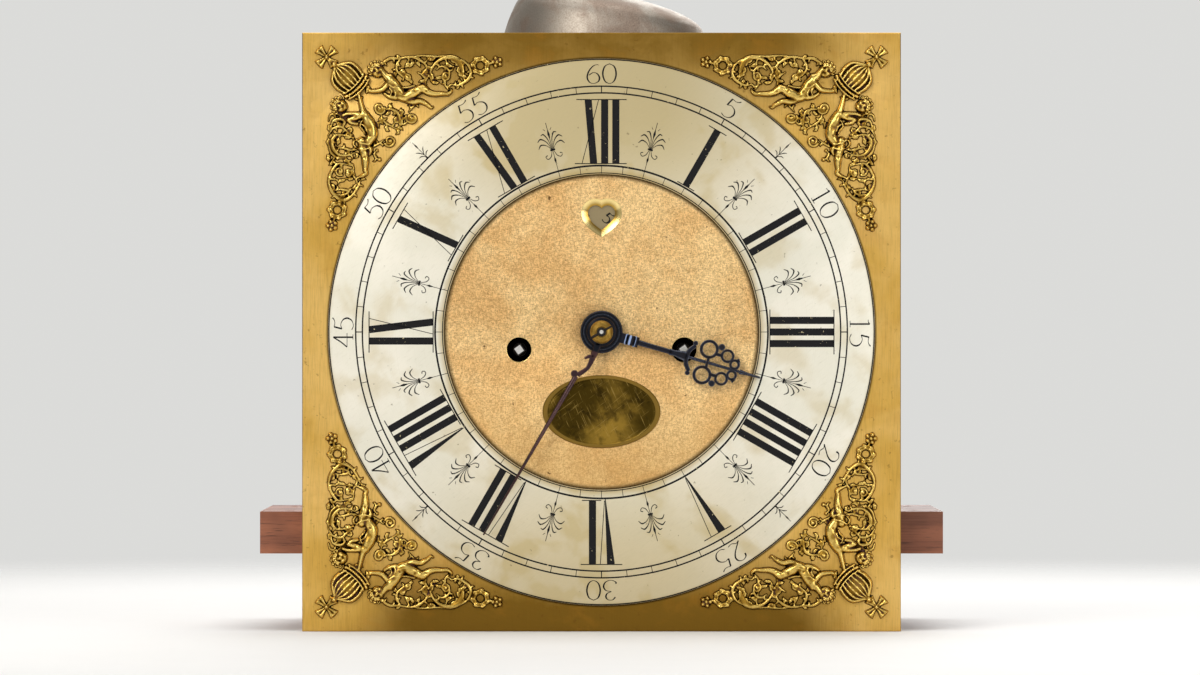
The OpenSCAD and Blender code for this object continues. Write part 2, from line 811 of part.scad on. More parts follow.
// Frame
pillar_x = plate_w / 2 - pillar_r - 2.5;
pillar_low = pillar_r + 5.5 - plate_down;
pillar_high = plate_up - 8;
pillar_at = [
    [-56, pillar_high], [56, pillar_high], [-pillar_x, pillar_low], [pillar_x, pillar_low], [0, pillar_low]
];
pillar_tenon_r = 3;
pillar_pin_r = 0.9;
pallet_front_r = 1.5;
lug_slot = [7, 12];

// Pivots of each plate: place and radius
front_pivots = [
    [centre_at, centre_r], [third_at, pivot_r], [escape_at, pivot_r], [anchor_at, pivot_r],
    [pin_at, pivot_r], [pallet_at, pallet_front_r], [warning_at, pivot_r], [fly_at, pivot_r],
    [hammer_at, pivot_r], [going_at, winding_front_r], [strike_at, winding_front_r]
];
back_pivots = [
    [centre_at, pivot_r], [third_at, pivot_r], [escape_at, pivot_r], [pin_at, pivot_r],
    [pallet_at, pivot_r], [warning_at, pivot_r], [fly_at, pivot_r], [hammer_at, pivot_r],
    [going_at, winding_back_r], [strike_at, winding_back_r]
];

module plate_outline(pivots) {
    difference() {
        translate([-plate_w / 2, -plate_down]) square([plate_w, plate_up + plate_down]);
        for (h = pivots) translate(h[0]) circle(h[1] + running);
        for (p = pillar_at) translate(p) circle(pillar_tenon_r + running);
    }
}

module front_plate() {
    color("goldenrod") slab([0, 0], front_in_y, plate_t) difference() {
        plate_outline(front_pivots);
        for (p = foot_at) translate(p) circle(foot_tenon_r + running);
        translate(lug_at - lug_slot / 2 + [0, 1.5]) square(lug_slot);
    }
}

anchor_pass_r = 6;

module back_plate() {
    color("goldenrod") slab([0, 0], back_y, plate_t) difference() {
        plate_outline(back_pivots);
        translate(anchor_at) circle(anchor_pass_r);
    }
}

// Pillars are riveted in the back plate and pinned in front of the front plate
module pillars() {
    color("goldenrod") for (p = pillar_at) difference() {
        union() {
            rod(p, back_in_y, front_in_y, pillar_r);
            rod(p, back_in_y - 10, back_in_y - 14, pillar_r + 2);
            rod(p, front_in_y + 14, front_in_y + 10, pillar_r + 2);
            rod(p, (back_in_y + front_in_y) / 2 + 4, (back_in_y + front_in_y) / 2 - 4, pillar_r + 1.6);
            rod(p, back_in_y, front_in_y, pillar_r - 1);
            rod(p, back_y, front_y - 4, pillar_tenon_r);
        }
        pillar_pin_shape(p, pillar_pin_r + 0.02, 14);
        if (p[1] < 0 && p[0] != 0) bolt_shank(p, bolt_r + 0.02);
    }
}

module pillar_pin_shape(p, r, l) {
    translate([p[0], front_y - side_gap - pillar_pin_r, centre_z + p[1] - l / 2]) cylinder(h = l, r = r);
}

module pillar_pins() {
    color("silver") for (p = pillar_at) pillar_pin_shape(p, pillar_pin_r, 11);
}

// Seatboard, with the slots that the lines and the pendulum hang through
bolt_r = 2.5;
bolt_head_r = 5;
bolt_head_h = 4.5;
bolt_y = (back_in_y + front_in_y) / 2;
line_slot = [6, 40];
line_hole_r = 2;         // hole that the line's fixed end is knotted in

module bolt_shank(p, r) {
    translate([p[0], bolt_y, bolt_head_h]) cylinder(h = centre_z + p[1] - bolt_head_h, r = r);
}

module seatboard() {
    color("sienna") difference() {
        translate([-board_w / 2, -board_d / 2, 0]) cube([board_w, board_d, board_t]);
        for (side = [-1, 1]) {
            translate([side * (board_w / 2 - board_hole_inset), 0, 0]) for (end = [-1, 1])
                translate([0, end * board_hole_gap / 2, -1]) cylinder(h = board_t + 2, r = board_hole_r);
            translate([side * winding_x - barrel_r, bolt_y, -1]) translate([-line_slot[0] / 2, -line_slot[1] / 2, 0])
                cube([line_slot[0], line_slot[1], board_t + 2]);
            translate([side * winding_x + barrel_r, bolt_y, -1]) cylinder(h = board_t + 2, r = line_hole_r);
            translate([side * pillar_x, bolt_y, -1]) cylinder(h = board_t + 2, r = bolt_r + 0.1);
            translate([side * pillar_x, bolt_y, -1])
                cylinder(h = 1 + bolt_head_h + 0.5, r = bolt_head_r + 0.6);
        }
        translate([-notch_w / 2, board_d / 2 - notch_d, -1]) cube([notch_w, notch_d + 1, board_t + 2]);
    }
}

module seatboard_bolts() {
    color("dimgray") for (side = [-1, 1]) {
        bolt_shank([side * pillar_x, pillar_low], bolt_r);
        translate([side * pillar_x, bolt_y, 0.5])
            cylinder(h = bolt_head_h, r = bolt_head_r, $fn = 6);
    }
}

// Bell, leaning to the right on its stand
bell_y = front_in_y + 33;
bell_crown = [7.4, 174.9];
bell_hole_r = 3.1;
// Outside of the bell as shares of its radius and height, from the crown to the lip
bell_profile = [
    [0, 0], [0.15, 0.004], [0.36, 0.02], [0.58, 0.064], [0.71, 0.116], [0.772, 0.16], [0.806, 0.21],
    [0.835, 0.282], [0.868, 0.452], [0.884, 0.6], [0.905, 0.74], [0.94, 0.87], [1, 1]
];

module on_bell() {
    translate([bell_crown[0], bell_y, centre_z + bell_crown[1]]) rotate([0, bell_lean, 0]) children();
}

module bell() {
    outside = [for (p = bell_profile) [p[0] * bell_r, -p[1] * bell_h]];
    inside = [for (k = [len(bell_profile) - 1 : -1 : 0])
        [max(0, bell_profile[k][0] * bell_r - bell_wall), min(-bell_wall, -bell_profile[k][1] * bell_h
            - (k == len(bell_profile) - 1 ? 0 : bell_wall / 2))]];
    color("#8d8478") on_bell() difference() {
        rotate_extrude($fn = 96) polygon([for (p = outside) p, for (p = inside) p]);
        translate([0, 0, -bell_wall - 1]) cylinder(h = bell_wall + 2, r = bell_hole_r);
    }
}

// Round bar between two points
module bar(p, q, r) {
    v = q - p;
    translate(p) rotate([0, acos(v[2] / norm(v)), atan2(v[1], v[0])]) cylinder(h = norm(v), r = r);
}

stand_r = 3.4;
stand_x = 50;

module bell_stand() {
    axis = [sin(bell_lean), 0, cos(bell_lean)];
    crown = [bell_crown[0], bell_y, centre_z + bell_crown[1]];
    path = [
        [stand_x, back_y + stand_r, centre_z + plate_up - 36], [stand_x, back_y + stand_r, centre_z + plate_up + 14],
        crown - axis * (bell_h + 12), crown - axis * (bell_wall)
    ];
    color("dimgray") {
        for (k = [0 : 2]) bar(path[k], path[k + 1], stand_r);
        for (k = [1 : 2]) translate(path[k]) sphere(stand_r + 0.4);
        slab([stand_x, plate_up - 30], back_y + 3, 3) limb([0, -12], 7, [0, 12], 7);
        bar(crown - axis * 8, crown + axis * 5, bell_hole_r - 0.05);
    }
}

module bell_nut() {
    color("dimgray") on_bell() difference() {
        union() {
            cylinder(h = 1.2, r = 8);
            cylinder(h = 4.6, r = 5.4, $fn = 6);
        }
        translate([0, 0, -1]) cylinder(h = 8, r = bell_hole_r);
    }
}

// Barrels and great wheels
barrel_back_y = great_plane - great_t - 0.5;
ratchet_t = 2.2;
ratchet_r = 15;
ratchet_teeth = 24;
cap_t = 2;
barrel_front_y = front_in_y + 6;
click_at = 27;
click_r = 2.6;

module barrel(p) {
    drum_l = barrel_back_y - ratchet_t - 2 * cap_t - barrel_front_y;
    pitch = drum_l / barrel_grooves;
    profile = [
        [winding_r + running, 0], [ratchet_r - 3, 0], [ratchet_r - 3, ratchet_t], [barrel_cap_r, ratchet_t],
        [barrel_cap_r, ratchet_t + cap_t],
        for (k = [0 : barrel_grooves - 1]) for (f = [[0, 0], [0.8, 0.3], [0.8, 0.7]])
            [barrel_r - f[0], ratchet_t + cap_t + (k + f[1]) * pitch],
        [barrel_r, ratchet_t + cap_t + drum_l],
        [barrel_cap_r, ratchet_t + cap_t + drum_l], [barrel_cap_r, ratchet_t + 2 * cap_t + drum_l],
        [winding_r + running, ratchet_t + 2 * cap_t + drum_l]
    ];
    color("goldenrod") difference() {
        union() {
            at(p, barrel_back_y) rotate_extrude($fn = 72) polygon(profile);
            slab(p, barrel_back_y, ratchet_t) difference() {
                polygon([for (k = [0 : ratchet_teeth - 1]) for (f = [[ratchet_r, 0], [ratchet_r - 1.6, 0.06]])
                    polar(f[0], (k + f[1]) * 360 / ratchet_teeth)]);
                circle(winding_r + running);
            }
        }
        at(p, barrel_back_y - ratchet_t - cap_t - drum_l + 3) translate([barrel_r - 7, 0, 0])
            rotate([0, 90, 0]) cylinder(h = 8, r = 1);
    }
}

module winding_arbor(p) {
    key_y = great_plane + side_gap;
    color("silver") {
        rod(p, back_in_y - side_gap, front_in_y + side_gap, winding_r);
        rod(p, back_y - side_gap, back_in_y - 2 * side_gap, winding_back_r);
        rod(p, key_y + 1.4, key_y, 8);
        rod(p, front_in_y + 2 * side_gap, front_y - 6, winding_front_r);
        at(p, front_y - 5) rotate(35) translate([-square_side / 2, -square_side / 2, 0])
            cube([square_side, square_side, dial_gap - 7]);
        at(p, dial_back_y + 3) rotate(35) translate([-square_tip / 2, -square_tip / 2, 0])
            cube([square_tip, square_tip, 3 - side_gap]);
    }
}

module great_wheel(p, count, m, target) {
    color("goldenrod") difference() {
        union() {
            slab(p, great_plane, great_t)
                crossed_wheel(count, m, bearing(p, target), 4, 9, 8, 45);
            rod(p + polar(click_at, 45), great_plane, great_plane - great_t - 2.4, 1.2);
            rod(p + polar(24, -45), great_plane, great_plane - great_t - 2, 1.8);
            slab(p, great_plane - great_t + 0.2, 2) limb(polar(24, -45), 1.4, [20.3, 6.3], 0.5);
        }
        rod(p, great_plane + 1, great_plane - great_t - 1, winding_r + running);
    }
}

// The click is drawn just clear of the ratchet's teeth
module click(p) {
    root = p + polar(click_at, 45);
    tip = p + polar(ratchet_r + 1.2, 8);
    color("silver") difference() {
        union() {
            slab([0, 0], great_plane - great_t - side_gap, 1.6) limb(root, click_r - 0.3, tip, 0.8);
            rod(root, great_plane - great_t - side_gap, great_plane - great_t - side_gap - 1.8, click_r);
        }
        rod(root, great_plane, great_plane - great_t - 4, 1.2 + running);
    }
}

module going_barrel() { barrel(going_at); }
module going_arbor() { winding_arbor(going_at); }
module going_great_wheel() { great_wheel(going_at, going_teeth, going_mod, centre_at); }
module going_click() { click(going_at); }
module strike_barrel() { barrel(strike_at); }
module strike_arbor() { winding_arbor(strike_at); }
module strike_great_wheel() { great_wheel(strike_at, strike_teeth, strike_mod, pin_at); }
module strike_click() { click(strike_at); }

// Going train
leaf_l = 7;

module centre_arbor() {
    color("silver") difference() {
        union() {
            rod(centre_at, back_in_y - side_gap, front_in_y + side_gap, centre_r);
            rod(centre_at, back_y - side_gap, back_in_y - 2 * side_gap, pivot_r);
            rod(centre_at, front_in_y + 2 * side_gap, centre_tip_y, centre_r);
            pinion(centre_at, going_at, great_leaves, going_mod, great_plane + 2, leaf_l);
        }
        hand_pin_shape(0.77);
    }
}

module centre_wheel() {
    color("goldenrod") difference() {
        union() {
            slab(centre_at, second_plane, wheel_t)
                crossed_wheel(centre_teeth, centre_mod, bearing(centre_at, third_at), 3, 6, 4);
            rod(centre_at, second_plane + 0.8, second_plane - wheel_t - 0.8, 5);
        }
        rod(centre_at, second_plane + 2, second_plane - wheel_t - 2, centre_r + running);
    }
}

module third_wheel() {
    color("goldenrod") {
        arbor(third_at, arbor_r);
        pinion(third_at, centre_at, third_leaves, centre_mod, second_plane + 1.4, 4.8);
        slab(third_at, front_plane, wheel_t)
            crossed_wheel(third_teeth, third_mod, bearing(third_at, escape_at), 3, 5, 3.4);
    }
}

module escape_wheel() {
    step = 360 / escape_teeth;
    color("goldenrod") {
        arbor(escape_at, thin_arbor_r);
        pinion(escape_at, third_at, escape_leaves, third_mod, front_plane + 2, 6);
        slab(escape_at, escape_plane, wheel_t) difference() {
            polygon([for (k = [0 : escape_teeth - 1])
                for (f = [[escape_r, 0], [escape_r, 0.08], [escape_r - 3.4, 0.5], [escape_r - 3.4, 0.9]])
                    polar(f[0], (k + f[1]) * step)]);
            crossings(escape_r - 5.8, 4.6, 3, 4, 45);
        }
    }
}

anchor_t = 3;
anchor_clear = 1.1;
pallet_reach = escape_r + anchor_clear;

// Recoil anchor, its pallets just clear of the escape wheel over the whole swing
module anchor() {
    color("silver") difference() {
        union() {
            rod(anchor_at, escape_plane + 1.7, escape_plane - anchor_t + 0.2, 5);
            slab([0, 0], escape_plane + 0.7, anchor_t) for (side = [-1, 1]) {
                nib = escape_at + polar(pallet_reach + 1.3, 90 - side * 47);
                limb(anchor_at, 3.4, escape_at + [side * 14.8, pallet_reach - 1], 1.8);
                limb(escape_at + [side * 14.8, pallet_reach - 1], 1.8, nib, 1.2);
            }
        }
        rod(anchor_at, escape_plane + 2, escape_plane - 4, arbor_r + 0.02);
    }
}

// Back cock: carries the anchor's back pivot and the pendulum's suspension
cock_reach = 20;
cock_t = 3;
cock_y = back_y + cock_reach;
cock_leg_x = 22;
suspension = [14, 9, 12];
crutch_plane = back_y + 9;
crutch_l = 112;
crutch_r = 1.2;
fork_gap = 5;

module anchor_arbor() {
    foot_z = centre_z + anchor_at[1] - crutch_l;
    color("silver") {
        rod(anchor_at, cock_y - side_gap, front_in_y + side_gap, arbor_r);
        rod(anchor_at, cock_y + cock_t - side_gap, cock_y - 2 * side_gap, pivot_r);
        rod(anchor_at, front_in_y + 2 * side_gap, front_y + side_gap, pivot_r);
        rod(anchor_at, crutch_plane + 2, crutch_plane - 2, 4);
        translate([0, crutch_plane, foot_z]) cylinder(h = crutch_l, r = crutch_r);
        translate([-fork_gap / 2 - 1.5, crutch_plane - 1.5, foot_z - 1.5])
            cube([fork_gap + 3, 3, 3]);
        for (side = [-1, 1]) translate([side * (fork_gap / 2 + 0.75) - 0.75, crutch_plane - 1.5, foot_z - 1.5])
            cube([1.5, 23, 3]);
    }
}

module back_cock() {
    color("goldenrod") difference() {
        union() {
            for (side = [-1, 1]) {
                slab([side * cock_leg_x, anchor_at[1]], cock_y, cock_reach)
                    translate([-3, -5]) square([6, 10]);
                slab([side * (cock_leg_x + 6), anchor_at[1]], back_y + cock_t, cock_t)
                    translate([-9, -5]) square([18, 10]);
            }
            slab(anchor_at, cock_y + cock_t, cock_t) translate([-cock_leg_x - 3, -6])
                square([2 * cock_leg_x + 6, 12]);
            translate([-suspension[0] / 2, cock_y + cock_t, centre_z + anchor_at[1] + 2.5])
                cube([suspension[0], suspension[1], suspension[2] - 6]);
        }
        rod(anchor_at, cock_y + cock_t + 1, cock_y - 1, pivot_r + running);
        translate([-0.5, cock_y + cock_t + 2, centre_z + anchor_at[1]])
            cube([1, suspension[1], suspension[2]]);
    }
}

// Striking train
pin_orbit = 19;
pin_r = 0.9;

module pin_wheel() {
    color("goldenrod") {
        arbor(pin_at, arbor_r);
        pinion(pin_at, strike_at, pin_leaves, strike_mod, great_plane + 2, leaf_l);
        slab(pin_at, second_plane, wheel_t)
            crossed_wheel(pin_teeth, pin_mod, bearing(pin_at, pallet_at), 5.6, 5, 4);
        rod(pin_at, second_plane, second_plane - wheel_t - 1, 5);
        for (k = [0 : pin_count - 1])
            rod(pin_at + polar(pin_orbit, (k + 0.5) * 360 / pin_count), second_plane - 1,
                second_plane - wheel_t - 3.8, pin_r, 24);
    }
}

module pallet_wheel() {
    color("goldenrod") {
        rod(pallet_at, back_in_y - side_gap, front_in_y + side_gap, arbor_r);
        rod(pallet_at, back_y - side_gap, back_in_y - 2 * side_gap, pivot_r);
        rod(pallet_at, front_in_y + 2 * side_gap, lever_plane - lever_t - 1.5, pallet_front_r);
        pinion(pallet_at, pin_at, pallet_leaves, pin_mod, second_plane + 1.4, 5);
        slab(pallet_at, pallet_plane, wheel_t)
            crossed_wheel(pallet_teeth, pallet_mod, bearing(pallet_at, warning_at), 3, 5, 3.4);
    }
}

warning_pin_orbit = 12;

module warning_wheel() {
    color("goldenrod") {
        arbor(warning_at, thin_arbor_r);
        pinion(warning_at, pallet_at, warning_leaves, pallet_mod, pallet_plane + 1.8, 5.4);
        slab(warning_at, front_plane, wheel_t)
            crossed_wheel(warning_teeth, warning_mod, bearing(warning_at, fly_at), 2.6, 4.4, 3);
        rod(warning_at + polar(warning_pin_orbit, 100), front_plane - 1, front_plane - wheel_t - 3, 0.8, 24);
    }
}

fly_half = 10;
fly_back_y = pallet_plane - wheel_t - 4;
fly_front_y = front_plane + 4.6;

module fly() {
    color("goldenrod") {
        arbor(fly_at, fly_arbor_r);
        pinion(fly_at, warning_at, fly_leaves, warning_mod, front_plane + 2, 5.6);
        at(fly_at, fly_back_y) rotate(20) translate([-fly_half, -0.4, 0])
            cube([2 * fly_half, 0.8, fly_back_y - fly_front_y]);
        rod(fly_at, fly_back_y - 2, fly_front_y + 2, 2);
    }
}

// Hammer
hammer_head = [[-74, 136], [-63, 136]];
hammer_head_r = 5;

module hammer() {
    tail = hammer_at + polar(norm(pin_at - hammer_at) - pin_orbit - pin_r - 1.6, bearing(hammer_at, pin_at));
    color("silver") {
        arbor(hammer_at, arbor_r);
        bar([hammer_at[0], bell_y, centre_z + hammer_at[1]],
            [hammer_at[0], bell_y, centre_z + hammer_head[0][1]], 1.9);
        bar([hammer_head[0][0], bell_y, centre_z + hammer_head[0][1]],
            [hammer_head[1][0], bell_y, centre_z + hammer_head[1][1]], hammer_head_r);
        rod(hammer_at, bell_y + 4, bell_y - 4, 4);
        slab([0, 0], second_plane - wheel_t - 0.8, 2.4) {
            limb(hammer_at, 3.2, tail, 1);
            limb(hammer_at, 2.4, hammer_at + [-3, 9], 1.2);
        }
    }
}

module hammer_spring() {
    foot = hammer_at - [6.5, 28];
    color("steelblue") {
        slab(foot, back_in_y, 10) limb([0, 0], 2.6, [0, -6], 2.6);
        at(foot, back_in_y - 6) translate([-1, 0, 0]) cube([0.8, 36, 4]);
    }
}

dial_plate();
chapter_ring();
spandrel_top_left();
spandrel_top_right();
spandrel_bottom_left();
spandrel_bottom_right();
spandrel_screws();
name_plaque();
dial_feet();
dial_foot_pins();
calendar_ring();
calendar_keeps();
calendar_wheel();
hour_hand();
minute_hand();
hand_collet();
hand_pin();
hour_bridge();
cannon_wheel();
reverse_minute_wheel();
hour_wheel();
hour_snail();
front_studs();
rack();
rack_spring();
rack_hook();
lifting_piece();
gathering_pallet();
front_plate();
back_plate();
pillars();
pillar_pins();
seatboard();
seatboard_bolts();
bell();
bell_stand();
bell_nut();
going_barrel();
going_arbor();
going_great_wheel();
going_click();
centre_arbor();
centre_wheel();
third_wheel();
escape_wheel();
anchor();
anchor_arbor();
back_cock();
strike_barrel();
strike_arbor();
strike_great_wheel();
strike_click();
pin_wheel();
pallet_wheel();
warning_wheel();
fly();
hammer();
hammer_spring();
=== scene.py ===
"""Longcase clock dial with its movement, dressed for Blender: castings, engraving, hands, finishes and studio."""
import json
import logging
from dataclasses import dataclass, field
from enum import Enum
from math import acos, atan2, cos, degrees, pi, radians, sin, sqrt
from typing import Any, Callable, Iterable, Sequence

import bmesh
import bpy
import numpy as np
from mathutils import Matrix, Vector
from mathutils.geometry import delaunay_2d_cdt


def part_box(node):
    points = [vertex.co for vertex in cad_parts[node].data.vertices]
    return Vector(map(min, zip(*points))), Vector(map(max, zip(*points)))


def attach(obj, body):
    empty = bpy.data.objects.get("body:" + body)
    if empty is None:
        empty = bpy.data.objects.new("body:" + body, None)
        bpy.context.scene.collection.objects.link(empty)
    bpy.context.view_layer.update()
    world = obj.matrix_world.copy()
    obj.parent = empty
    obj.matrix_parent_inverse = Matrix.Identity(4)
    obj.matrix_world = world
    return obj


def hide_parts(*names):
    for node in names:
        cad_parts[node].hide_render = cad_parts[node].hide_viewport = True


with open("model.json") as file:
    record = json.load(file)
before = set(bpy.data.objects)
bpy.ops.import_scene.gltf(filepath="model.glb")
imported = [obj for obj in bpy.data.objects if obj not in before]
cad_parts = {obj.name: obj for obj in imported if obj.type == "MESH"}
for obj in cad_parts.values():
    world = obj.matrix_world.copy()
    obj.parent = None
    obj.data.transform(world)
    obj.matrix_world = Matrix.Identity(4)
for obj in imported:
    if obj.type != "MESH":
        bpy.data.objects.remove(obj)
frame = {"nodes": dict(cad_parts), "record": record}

Array = np.ndarray
Colour = tuple[float, float, float]
Point = tuple[float, float]
Points = Sequence[Point] | Array
Numbers = Sequence[float]
Thing = bpy.types.Object
Material = bpy.types.Material
Socket = bpy.types.NodeSocket

# Places in millimetres in the row frame
MM = 0.001
CENTRE_Z = 113.5      # height of the dial's centre above the seatboard's underside
PLATE_Y = -100.4      # front face of the dial plate
RING_Y = -102.0       # front face of the chapter ring
WINDING_X = 42.0      # the winding holes' distance from the middle line
WINDING_Z = -9.0      # their height from the dial's centre
DIAL_SIDE = 304.8
FAR_DOWN = -9.0       # height of a casting's field where nothing stands
log = logging.getLogger("clock")


# Numbers and curves

def linear(colour: Colour) -> tuple[float, float, float, float]:
    """Turns a colour as on a screen into linear light: ((c + 0.055) / 1.055) to the power 2.4, or c / 12.92."""
    return (*(c / 12.92 if c <= 0.04045 else ((c + 0.055) / 1.055) ** 2.4 for c in colour), 1)


def smooth_path(points: Sequence[Numbers], samples: int = 8) -> Array:
    """Draws a smooth curve through points: on each span the cubic whose slope at a point is half the chord past it.

    Args:
        points: Points of any dimension, at least two.
        samples: Points computed on each span.

    Returns:
        The curve's points, one row each, with the last point included.
    """
    p = np.asarray(points, float)
    if len(p) == 2:
        t = np.linspace(0, 1, samples + 1)[:, None]
        return p[0] * (1 - t) + p[1] * t
    before = np.vstack([2 * p[0] - p[1], p[:-1]])
    after = np.vstack([p[1:], 2 * p[-1] - p[-2]])
    slope = (after - before) / 2
    t = np.linspace(0, 1, samples, endpoint=False)[None, :, None]
    a, b = p[:-1, None], p[1:, None]
    ma, mb = slope[:-1, None], slope[1:, None]
    curve = ((2 * t**3 - 3 * t**2 + 1) * a + (t**3 - 2 * t**2 + t) * ma
             + (3 * t**2 - 2 * t**3) * b + (t**3 - t**2) * mb)
    return np.vstack([curve.reshape(-1, p.shape[1]), p[-1]])


def arc_points(centre: Point, radius: float, start: float, end: float, count: int = 24,
               inner: float | None = None) -> Array:
    """Points of an arc or volute: centre + r (cos a, sin a), a from start to end in degrees, r from radius to inner."""
    a, r = np.radians(np.linspace(start, end, count)), np.linspace(radius, inner or radius, count)
    return np.stack([centre[0] + r * np.cos(a), centre[1] + r * np.sin(a)], -1)


def along(values: Numbers, count: int) -> Array:
    """Spreads a few values evenly over count points, with straight lines between them."""
    return np.interp(np.linspace(0, 1, count), np.linspace(0, 1, len(values)), values)


def pairs(row: Numbers, unit: float) -> Array:
    """Points from their two coordinates in turn, given in the unit."""
    return np.reshape(row, (-1, 2)) / round(1 / unit)


# Meshes

@dataclass
class Surface:
    """Points in millimetres and the faces between them; several can be joined before they become one piece."""
    points: Array
    faces: list[Array]

    @staticmethod
    def join(parts: Iterable["Surface"]) -> "Surface":
        """Puts several surfaces into one.

        Args:
            parts: The surfaces.

        Returns:
            One surface with all their points and faces.
        """
        points, faces, count = [], [], 0
        for part in parts:
            points.append(part.points)
            faces += [f + count for f in part.faces]
            count += len(part.points)
        return Surface(np.vstack(points), faces)

    def moved(self, matrix: Array, shift: Numbers = (0, 0, 0)) -> "Surface":
        """Turns every point by a 3 by 3 matrix, then shifts it."""
        return Surface(self.points @ np.asarray(matrix, float).T + np.asarray(shift, float), self.faces)

    def piece(self, name: str, material: Material, sharp: float = 40) -> Thing:
        """Makes the surface one object: doubles merged, faces turned outwards, smooth below the sharp angle.

        Args:
            name: Name of the object.
            material: Its finish.
            sharp: Angle in degrees above which an edge stays sharp.

        Returns:
            The object, at the origin, with its place in its mesh.
        """
        mesh = bpy.data.meshes.new(name)
        faces = [row for block in self.faces for row in block.tolist()]
        mesh.from_pydata((self.points * MM).tolist(), [], faces)
        work = bmesh.new()
        work.from_mesh(mesh)
        bmesh.ops.remove_doubles(work, verts=work.verts, dist=2e-6)
        bmesh.ops.dissolve_degenerate(work, edges=work.edges, dist=1e-7)
        bmesh.ops.recalc_face_normals(work, faces=work.faces)
        work.to_mesh(mesh)
        work.free()
        mesh.polygons.foreach_set("use_smooth", np.ones(len(mesh.polygons), bool))
        mesh.set_sharp_from_angle(angle=radians(sharp))
        mesh.materials.append(material)
        thing = bpy.data.objects.new(name, mesh)
        bpy.context.scene.collection.objects.link(thing)
        return thing


def grid_faces(rows: int, columns: int, round_rows: bool = False, round_columns: bool = False) -> Array:
    """Faces of a grid of points, written row after row.

    Args:
        rows: Number of rows.
        columns: Number of columns.
        round_rows: True joins the last row to the first.
        round_columns: True joins the last column to the first.

    Returns:
        Four indices for each face.
    """
    r = np.arange(rows if round_rows else rows - 1)
    c = np.arange(columns if round_columns else columns - 1)
    a, b = np.meshgrid(r, c, indexing="ij")
    down, right = (a + 1) % rows, (b + 1) % columns
    a, down = a * columns, down * columns
    return np.stack([a + b, a + right, down + right, down + b], -1).reshape(-1, 4)


def turned(place: Point, profile: Sequence[Point], sides: int = 64, closed: bool = False,
           turn: float = 0) -> Surface:
    """A turned shape about an axis from front to back: (x + r cos a, y, z + r sin a) for each profile point (r, y).

    Args:
        place: The axis, from the dial's centre.
        profile: Pairs of radius and depth y.
        sides: Number of steps round.
        closed: True joins the profile's end to its start, as for a ring.
        turn: Angle of the first step, in degrees.

    Returns:
        The surface.
    """
    line = np.asarray(profile, float)
    a = np.linspace(0, 2 * pi, sides, endpoint=False) + radians(turn)
    r, y = line[:, 0][:, None], line[:, 1][:, None]
    points = np.stack([place[0] + r * np.cos(a), np.broadcast_to(y, (len(line), sides)),
                       CENTRE_Z + place[1] + r * np.sin(a)], -1).reshape(-1, 3)
    return Surface(points, [grid_faces(len(line), sides, closed, True)])


def swept(path: Array, half: Array | float, height: Array | float, section: Array, front: Array) -> Surface:
    """Carries a closed section along a path: path + half * s * side + height * h * front, with side = along x front.

    Args:
        path: Points in space, in millimetres.
        half: Half width at each point.
        height: Height at each point.
        section: Pairs (s, h) round the section.
        front: The direction that heights rise in.

    Returns:
        The surface, with both ends capped by their own points drawn to the middle.
    """
    path = np.asarray(path, float)
    n = len(path)
    tangent = np.gradient(path, axis=0)
    tangent /= np.linalg.norm(tangent, axis=1, keepdims=True) + 1e-12
    front = np.broadcast_to(np.asarray(front, float), (n, 3))
    side = np.cross(tangent, front)
    side /= np.linalg.norm(side, axis=1, keepdims=True) + 1e-12
    half = np.broadcast_to(np.asarray(half, float), (n,))[:, None, None]
    height = np.broadcast_to(np.asarray(height, float), (n,))[:, None, None]
    ring = (path[:, None] + half * section[None, :, :1] * side[:, None]
            + height * section[None, :, 1:] * front[:, None])
    caps = [np.broadcast_to(ring[i].mean(axis=0), (1,) + ring[i].shape) for i in (0, -1)]
    ring = np.concatenate([caps[0], ring, caps[1]])
    return Surface(ring.reshape(-1, 3), [grid_faces(n + 2, section.shape[0], False, True)])


FRONT = np.array([0, -1, 0])


def on_dial(flat: Array, y: float | Array) -> Array:
    """Puts flat points (right, up from the dial's centre) at depth y."""
    flat = np.asarray(flat, float)
    return np.stack([flat[:, 0], np.broadcast_to(np.asarray(y, float), (len(flat),)), CENTRE_Z + flat[:, 1]], -1)


def filled(loops: Sequence[Array], y: float) -> Surface:
    """Fills the area between an outline and its holes with triangles, at one depth.

    Args:
        loops: The outline and the holes.
        y: Depth of the face.

    Returns:
        The surface.
    """
    points, edges, count = [], [], 0
    for loop in loops:
        n = len(loop)
        points += [Vector((float(x), float(z))) for x, z in loop]
        edges += [(count + i, count + (i + 1) % n) for i in range(n)]
        count += n
    found = delaunay_2d_cdt(points, edges, [], 2, 1e-6)
    flat = np.array([[p.x, p.y] for p in found[0]])
    faces = np.array([f for f in found[2]], int)
    middle = flat[faces].mean(axis=1)
    keep = inside(middle, loops[0])
    for hole in loops[1:]:
        keep &= ~inside(middle, hole)
    return Surface(on_dial(flat, y), [faces[keep]])


def inside(points: Array, loop: Array) -> Array:
    """Tells which points lie in a closed outline: those whose ray to the right crosses it an odd number of times.

    Args:
        points: Flat points.
        loop: The outline.

    Returns:
        True for each point inside.
    """
    a, b = np.asarray(loop, float), np.roll(np.asarray(loop, float), -1, axis=0)
    px, py = points[:, 0][:, None], points[:, 1][:, None]
    spans = (a[:, 1] > py) != (b[:, 1] > py)
    rise = np.where(np.abs(b[:, 1] - a[:, 1]) < 1e-12, 1e-12, b[:, 1] - a[:, 1])
    cross = a[:, 0] + (py - a[:, 1]) / rise * (b[:, 0] - a[:, 0])
    return (np.sum(spans & (px < cross), axis=1) % 2) == 1


# Shader graphs

def operator(operation: str) -> Callable[..., "Value"]:
    """A method of Value that adds one Math node."""
    return lambda self, *others: self.math(operation, *others)


